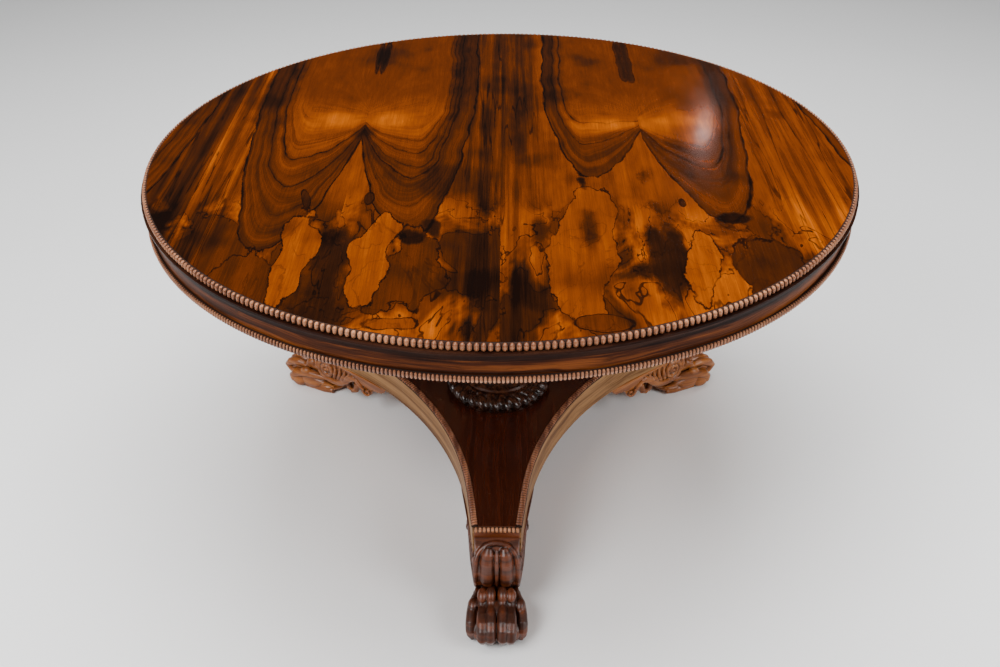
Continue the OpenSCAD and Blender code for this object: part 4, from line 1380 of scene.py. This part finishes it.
    def middle_toe(self, shape: Shape, y: float, high: float) -> None:
        """Adds one of the four inner ridges of the paw, with its knuckle and claw.

        Args:
            shape: The solid it goes into.
            y: Its distance from the middle.
            high: How far it rises above the lowest.
        """
        shape.ball((511.0, y, 67.0 + high * 0.8), (16.0, 9.8, 12.0), tilt=24.0)
        ridge = [(474.0, y * 0.8, 50.0 + high * 0.4), (492.0, y * 0.9, 58.0 + high * 0.8),
                 (511.0, y, 63.0 + high), (530.0, y, 55.0 + high), (549.0, y, 56.0 + high * 0.8),
                 (567.0, y, 52.5 + high * 0.6), (579.0, y * 0.98, 46.0 + high * 0.4),
                 (587.0, y * 0.97, 37.5), (579.0, y * 0.95, 26.0), (569.0, y * 0.92, 17.0)]
        shape.tube(ridge, [7.0, 8.4, 9.8, 7.6, 9.8, 10.4, 10.4, 9.8, 8.8, 7.2])
        claw = [(582.0, y * 0.94, 30.0), (579.0, y * 0.92, 20.0), (572.0, y * 0.9, 11.0),
                (566.0, y * 0.88, 4.5)]
        shape.tube(claw, [4.6, 5.2, 4.4, 2.0])

    def outer_toe(self, shape: Shape, side: float) -> None:
        """Adds the toe on one side of the paw, its claw and the folds behind it.

        Args:
            shape: The solid it goes into.
            side: The side, -1 or 1.
        """
        shape.ball((518.0, side * 44.0, 49.0), (16.0, 10.4, 12.5), tilt=24.0)
        toe = [(466.0, 32.0, 38.0), (490.0, 38.0, 43.0), (513.0, 44.0, 47.0), (532.0, 47.0, 42.0),
               (548.0, 47.0, 36.0), (557.0, 46.5, 26.0), (555.0, 46.0, 14.0)]
        shape.tube(mirrored(toe, side), [7.0, 9.0, 10.6, 10.0, 11.0, 11.0, 9.8])
        shape.ball((542.0, side * 45.8, 18.0), (20.0, 11.4, 17.0))
        claw = [(560.0, 45.5, 17.0), (561.0, 45.0, 10.0), (557.0, 44.5, 4.5)]
        shape.tube(mirrored(claw, side), [6.0, 4.8, 2.2])
        for rise, out, thick in ((0.0, 40.0, 5.4), (13.0, 36.5, 4.8)):
            fold = [(443.0, out - 7.0, 22.0 + rise), (468.0, out, 29.0 + rise),
                    (492.0, out + 3.5, 33.0 + rise), (514.0, out + 5.0, 35.0 + rise)]
            shape.tube(mirrored(fold, side), [2.4, thick, thick, 3.0])

    def paw(self) -> bpy.types.Mesh:
        """Builds the paw of the arm that points along X.

        Returns:
            Its mesh.
        """
        shape = Shape()
        shape.ball((471.0, 0.0, 14.0), (41.0, 43.0, 15.0))
        shape.ball((478.0, 0.0, 32.0), (44.0, 38.0, 26.0), tilt=-14.0)
        shape.ball((538.0, 0.0, 16.0), (34.0, 42.0, 16.0))
        shape.ball((525.0, 0.0, 35.0), (37.0, 36.0, 31.0))
        pad = [(486.0, 15.0, 50.0), (510.0, 18.0, 54.0), (536.0, 18.5, 48.0), (556.0, 18.5, 41.0),
               (570.0, 18.0, 32.0), (567.0, 18.0, 21.0)]
        heel = [(447.0, 33.0, 9.0), (470.0, 36.0, 8.5), (500.0, 38.0, 8.5), (522.0, 42.0, 10.0)]
        for side in SIDES:
            shape.tube(mirrored(pad, side), [12.0, 13.0, 13.0, 13.0, 12.0, 11.0])
            shape.tube(mirrored(heel, side), [6.0, 8.5, 8.5, 8.0])
            shape.ball((512.0, side * 36.0, 26.0), (36.0, 16.0, 24.0))
            shape.ball((545.0, side * 34.0, 22.0), (27.0, 13.0, 20.0))
        for y, high in ((-27.0, 0.0), (-11.0, 4.0), (11.0, 4.0), (27.0, 0.0)):
            self.middle_toe(shape, y, high)
        for side in SIDES:
            self.outer_toe(shape, side)
        mesh = melt(shape.mesh("Paw"), self.paw_voxel, self.paw_rounds)
        for vert in mesh.vertices:
            vert.co.z = max(vert.co.z, 0.0)
        return mesh

    def build(self) -> None:
        """Builds the foot once and sets a copy under each arm."""
        kinds = (("Scroll_bracket_", self.bracket(), "scroll_"), ("Lion_paw_", self.paw(), "paw_"))
        for name, angle in zip(self.names, ARM_TURNS):
            # The front foot and the side feet take darker and lighter copies of one carved rosewood: painted
            # shade and painted light.
            finish = self.finishes.carved if name == "front" else self.finishes.carved_painted_lighter
            for kind, source, node in kinds:
                mesh = source.copy()
                mesh.transform(turn_z(angle))
                place_piece(kind + name, mesh, finish, Body.BASE, [node + name])
        dress_nodes(self.finishes.beech, "paw_dowels")
        dress_nodes(self.finishes.iron, "foot_screws")


@dataclass
class Studio:
    """The floor, the lights and the camera at the photographer's place."""

    camera_at: Point = (0.0151, -1.8897, 1.5954)
    pitch: float = 34.493
    yaw: float = 1.844
    roll: float = 0.965
    lens: float = 38.753
    sensor: float = 36.0
    shift_x: float = 0.0234
    shift_y: float = 0.0055
    floor_half: float = 20.0
    mirrored_strength: float = 0.045
    seen_strength: float = 1.1

    def camera(self) -> None:
        """Places the camera for a picture of 1000 by 667."""
        data = bpy.data.cameras.new("Photo_camera")
        data.lens = self.lens
        data.sensor_width = self.sensor
        data.sensor_fit = "HORIZONTAL"
        data.shift_x = self.shift_x
        data.shift_y = self.shift_y
        made = link_object("Photo_camera", data)
        made.matrix_world = (Matrix.Translation(self.camera_at) @ turn_z(self.yaw)
                             @ Matrix.Rotation(math.radians(90.0 - self.pitch), 4, "X")
                             @ turn_z(-self.roll))
        bpy.context.scene.camera = made

    def light(self, name: str, at: Point, towards: Point, size: FlatPoint, power: float,
              colour: Colour = (1.0, 1.0, 1.0)) -> None:
        """Adds one soft rectangular light.

        Args:
            name: Its name.
            at: Its place.
            towards: The point it faces.
            size: Its width and height.
            power: Its power in watts.
            colour: Its colour.
        """
        data = bpy.data.lights.new(name, "AREA")
        data.shape = "RECTANGLE"
        data.size, data.size_y = size
        data.energy = power
        data.color = colour
        made = link_object(name, data)
        made.location = at
        made.rotation_euler = (Vector(towards) - Vector(at)).to_track_quat("-Z", "Y").to_euler()

    def floor(self) -> None:
        """Lays the plain pale floor."""
        bm = bmesh.new()
        bmesh.ops.create_grid(bm, x_segments=1, y_segments=1, size=self.floor_half)
        mesh = bpy.data.meshes.new("Floor")
        bm.to_mesh(mesh)
        bm.free()
        material, g = new_material("Pale floor")
        haze = g.noise(g.place(), scale=0.002, detail=1.0)
        g.surface({"Base Color": g.mix(haze, (0.93, 0.93, 0.93), (0.95, 0.95, 0.945)),
                   "Roughness": 0.9, "Specular IOR Level": 0.1})
        mesh.materials.append(material)
        made = link_object("Floor", mesh)

    def world(self) -> None:
        """Sets a plain surrounding, pale where it is seen and dim where the polish mirrors it."""
        world = bpy.data.worlds.new("Studio")
        world.use_nodes = True
        world.node_tree.nodes.clear()
        g = Graph(world.node_tree)
        dim = g.node("ShaderNodeBackground", {"Color": (0.95, 0.97, 1.0), "Strength": self.mirrored_strength})
        pale = g.node("ShaderNodeBackground", {"Color": (0.97, 0.98, 1.0), "Strength": self.seen_strength})
        seen = g.given("ShaderNodeLightPath", "Is Camera Ray")
        both = g.node("ShaderNodeMixShader", {0: seen, 1: dim.outputs[0], 2: pale.outputs[0]})
        g.node("ShaderNodeOutputWorld", {"Surface": both.outputs[0]})
        bpy.context.scene.world = world

    def build(self) -> None:
        """Builds the studio."""
        self.floor()
        self.world()
        self.light("Key", (-2.6, -2.6, 3.4), (0.0, 0.0, 0.3), (2.4, 2.4), 228.0)
        self.light("Fill", (3.0, -1.8, 2.2), (0.0, 0.0, 0.3), (1.8, 1.8), 90.0)
        self.light("Overhead", (0.0, 0.2, 3.8), (0.0, 0.0, 0.0), (3.0, 3.0), 232.0)
        self.light("Window", (0.9, 2.63, 1.85), (0.4, 0.08, 0.74), (0.06, 0.1), 0.15, (0.93, 0.95, 1.0))
        self.camera()


def main() -> None:
    """Builds the studio and every part of the table in order."""
    logging.basicConfig(level=logging.INFO, format="%(name)s: %(message)s")
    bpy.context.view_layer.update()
    finishes = Finishes()
    Studio().build()
    platform = Platform(finishes)
    platform.build()
    Pedestal(finishes).build()
    LionFoot(finishes, platform).build()
    TiltWork(finishes).build()
    TableTop(finishes).build()


if __name__ == "__main__":
    main()
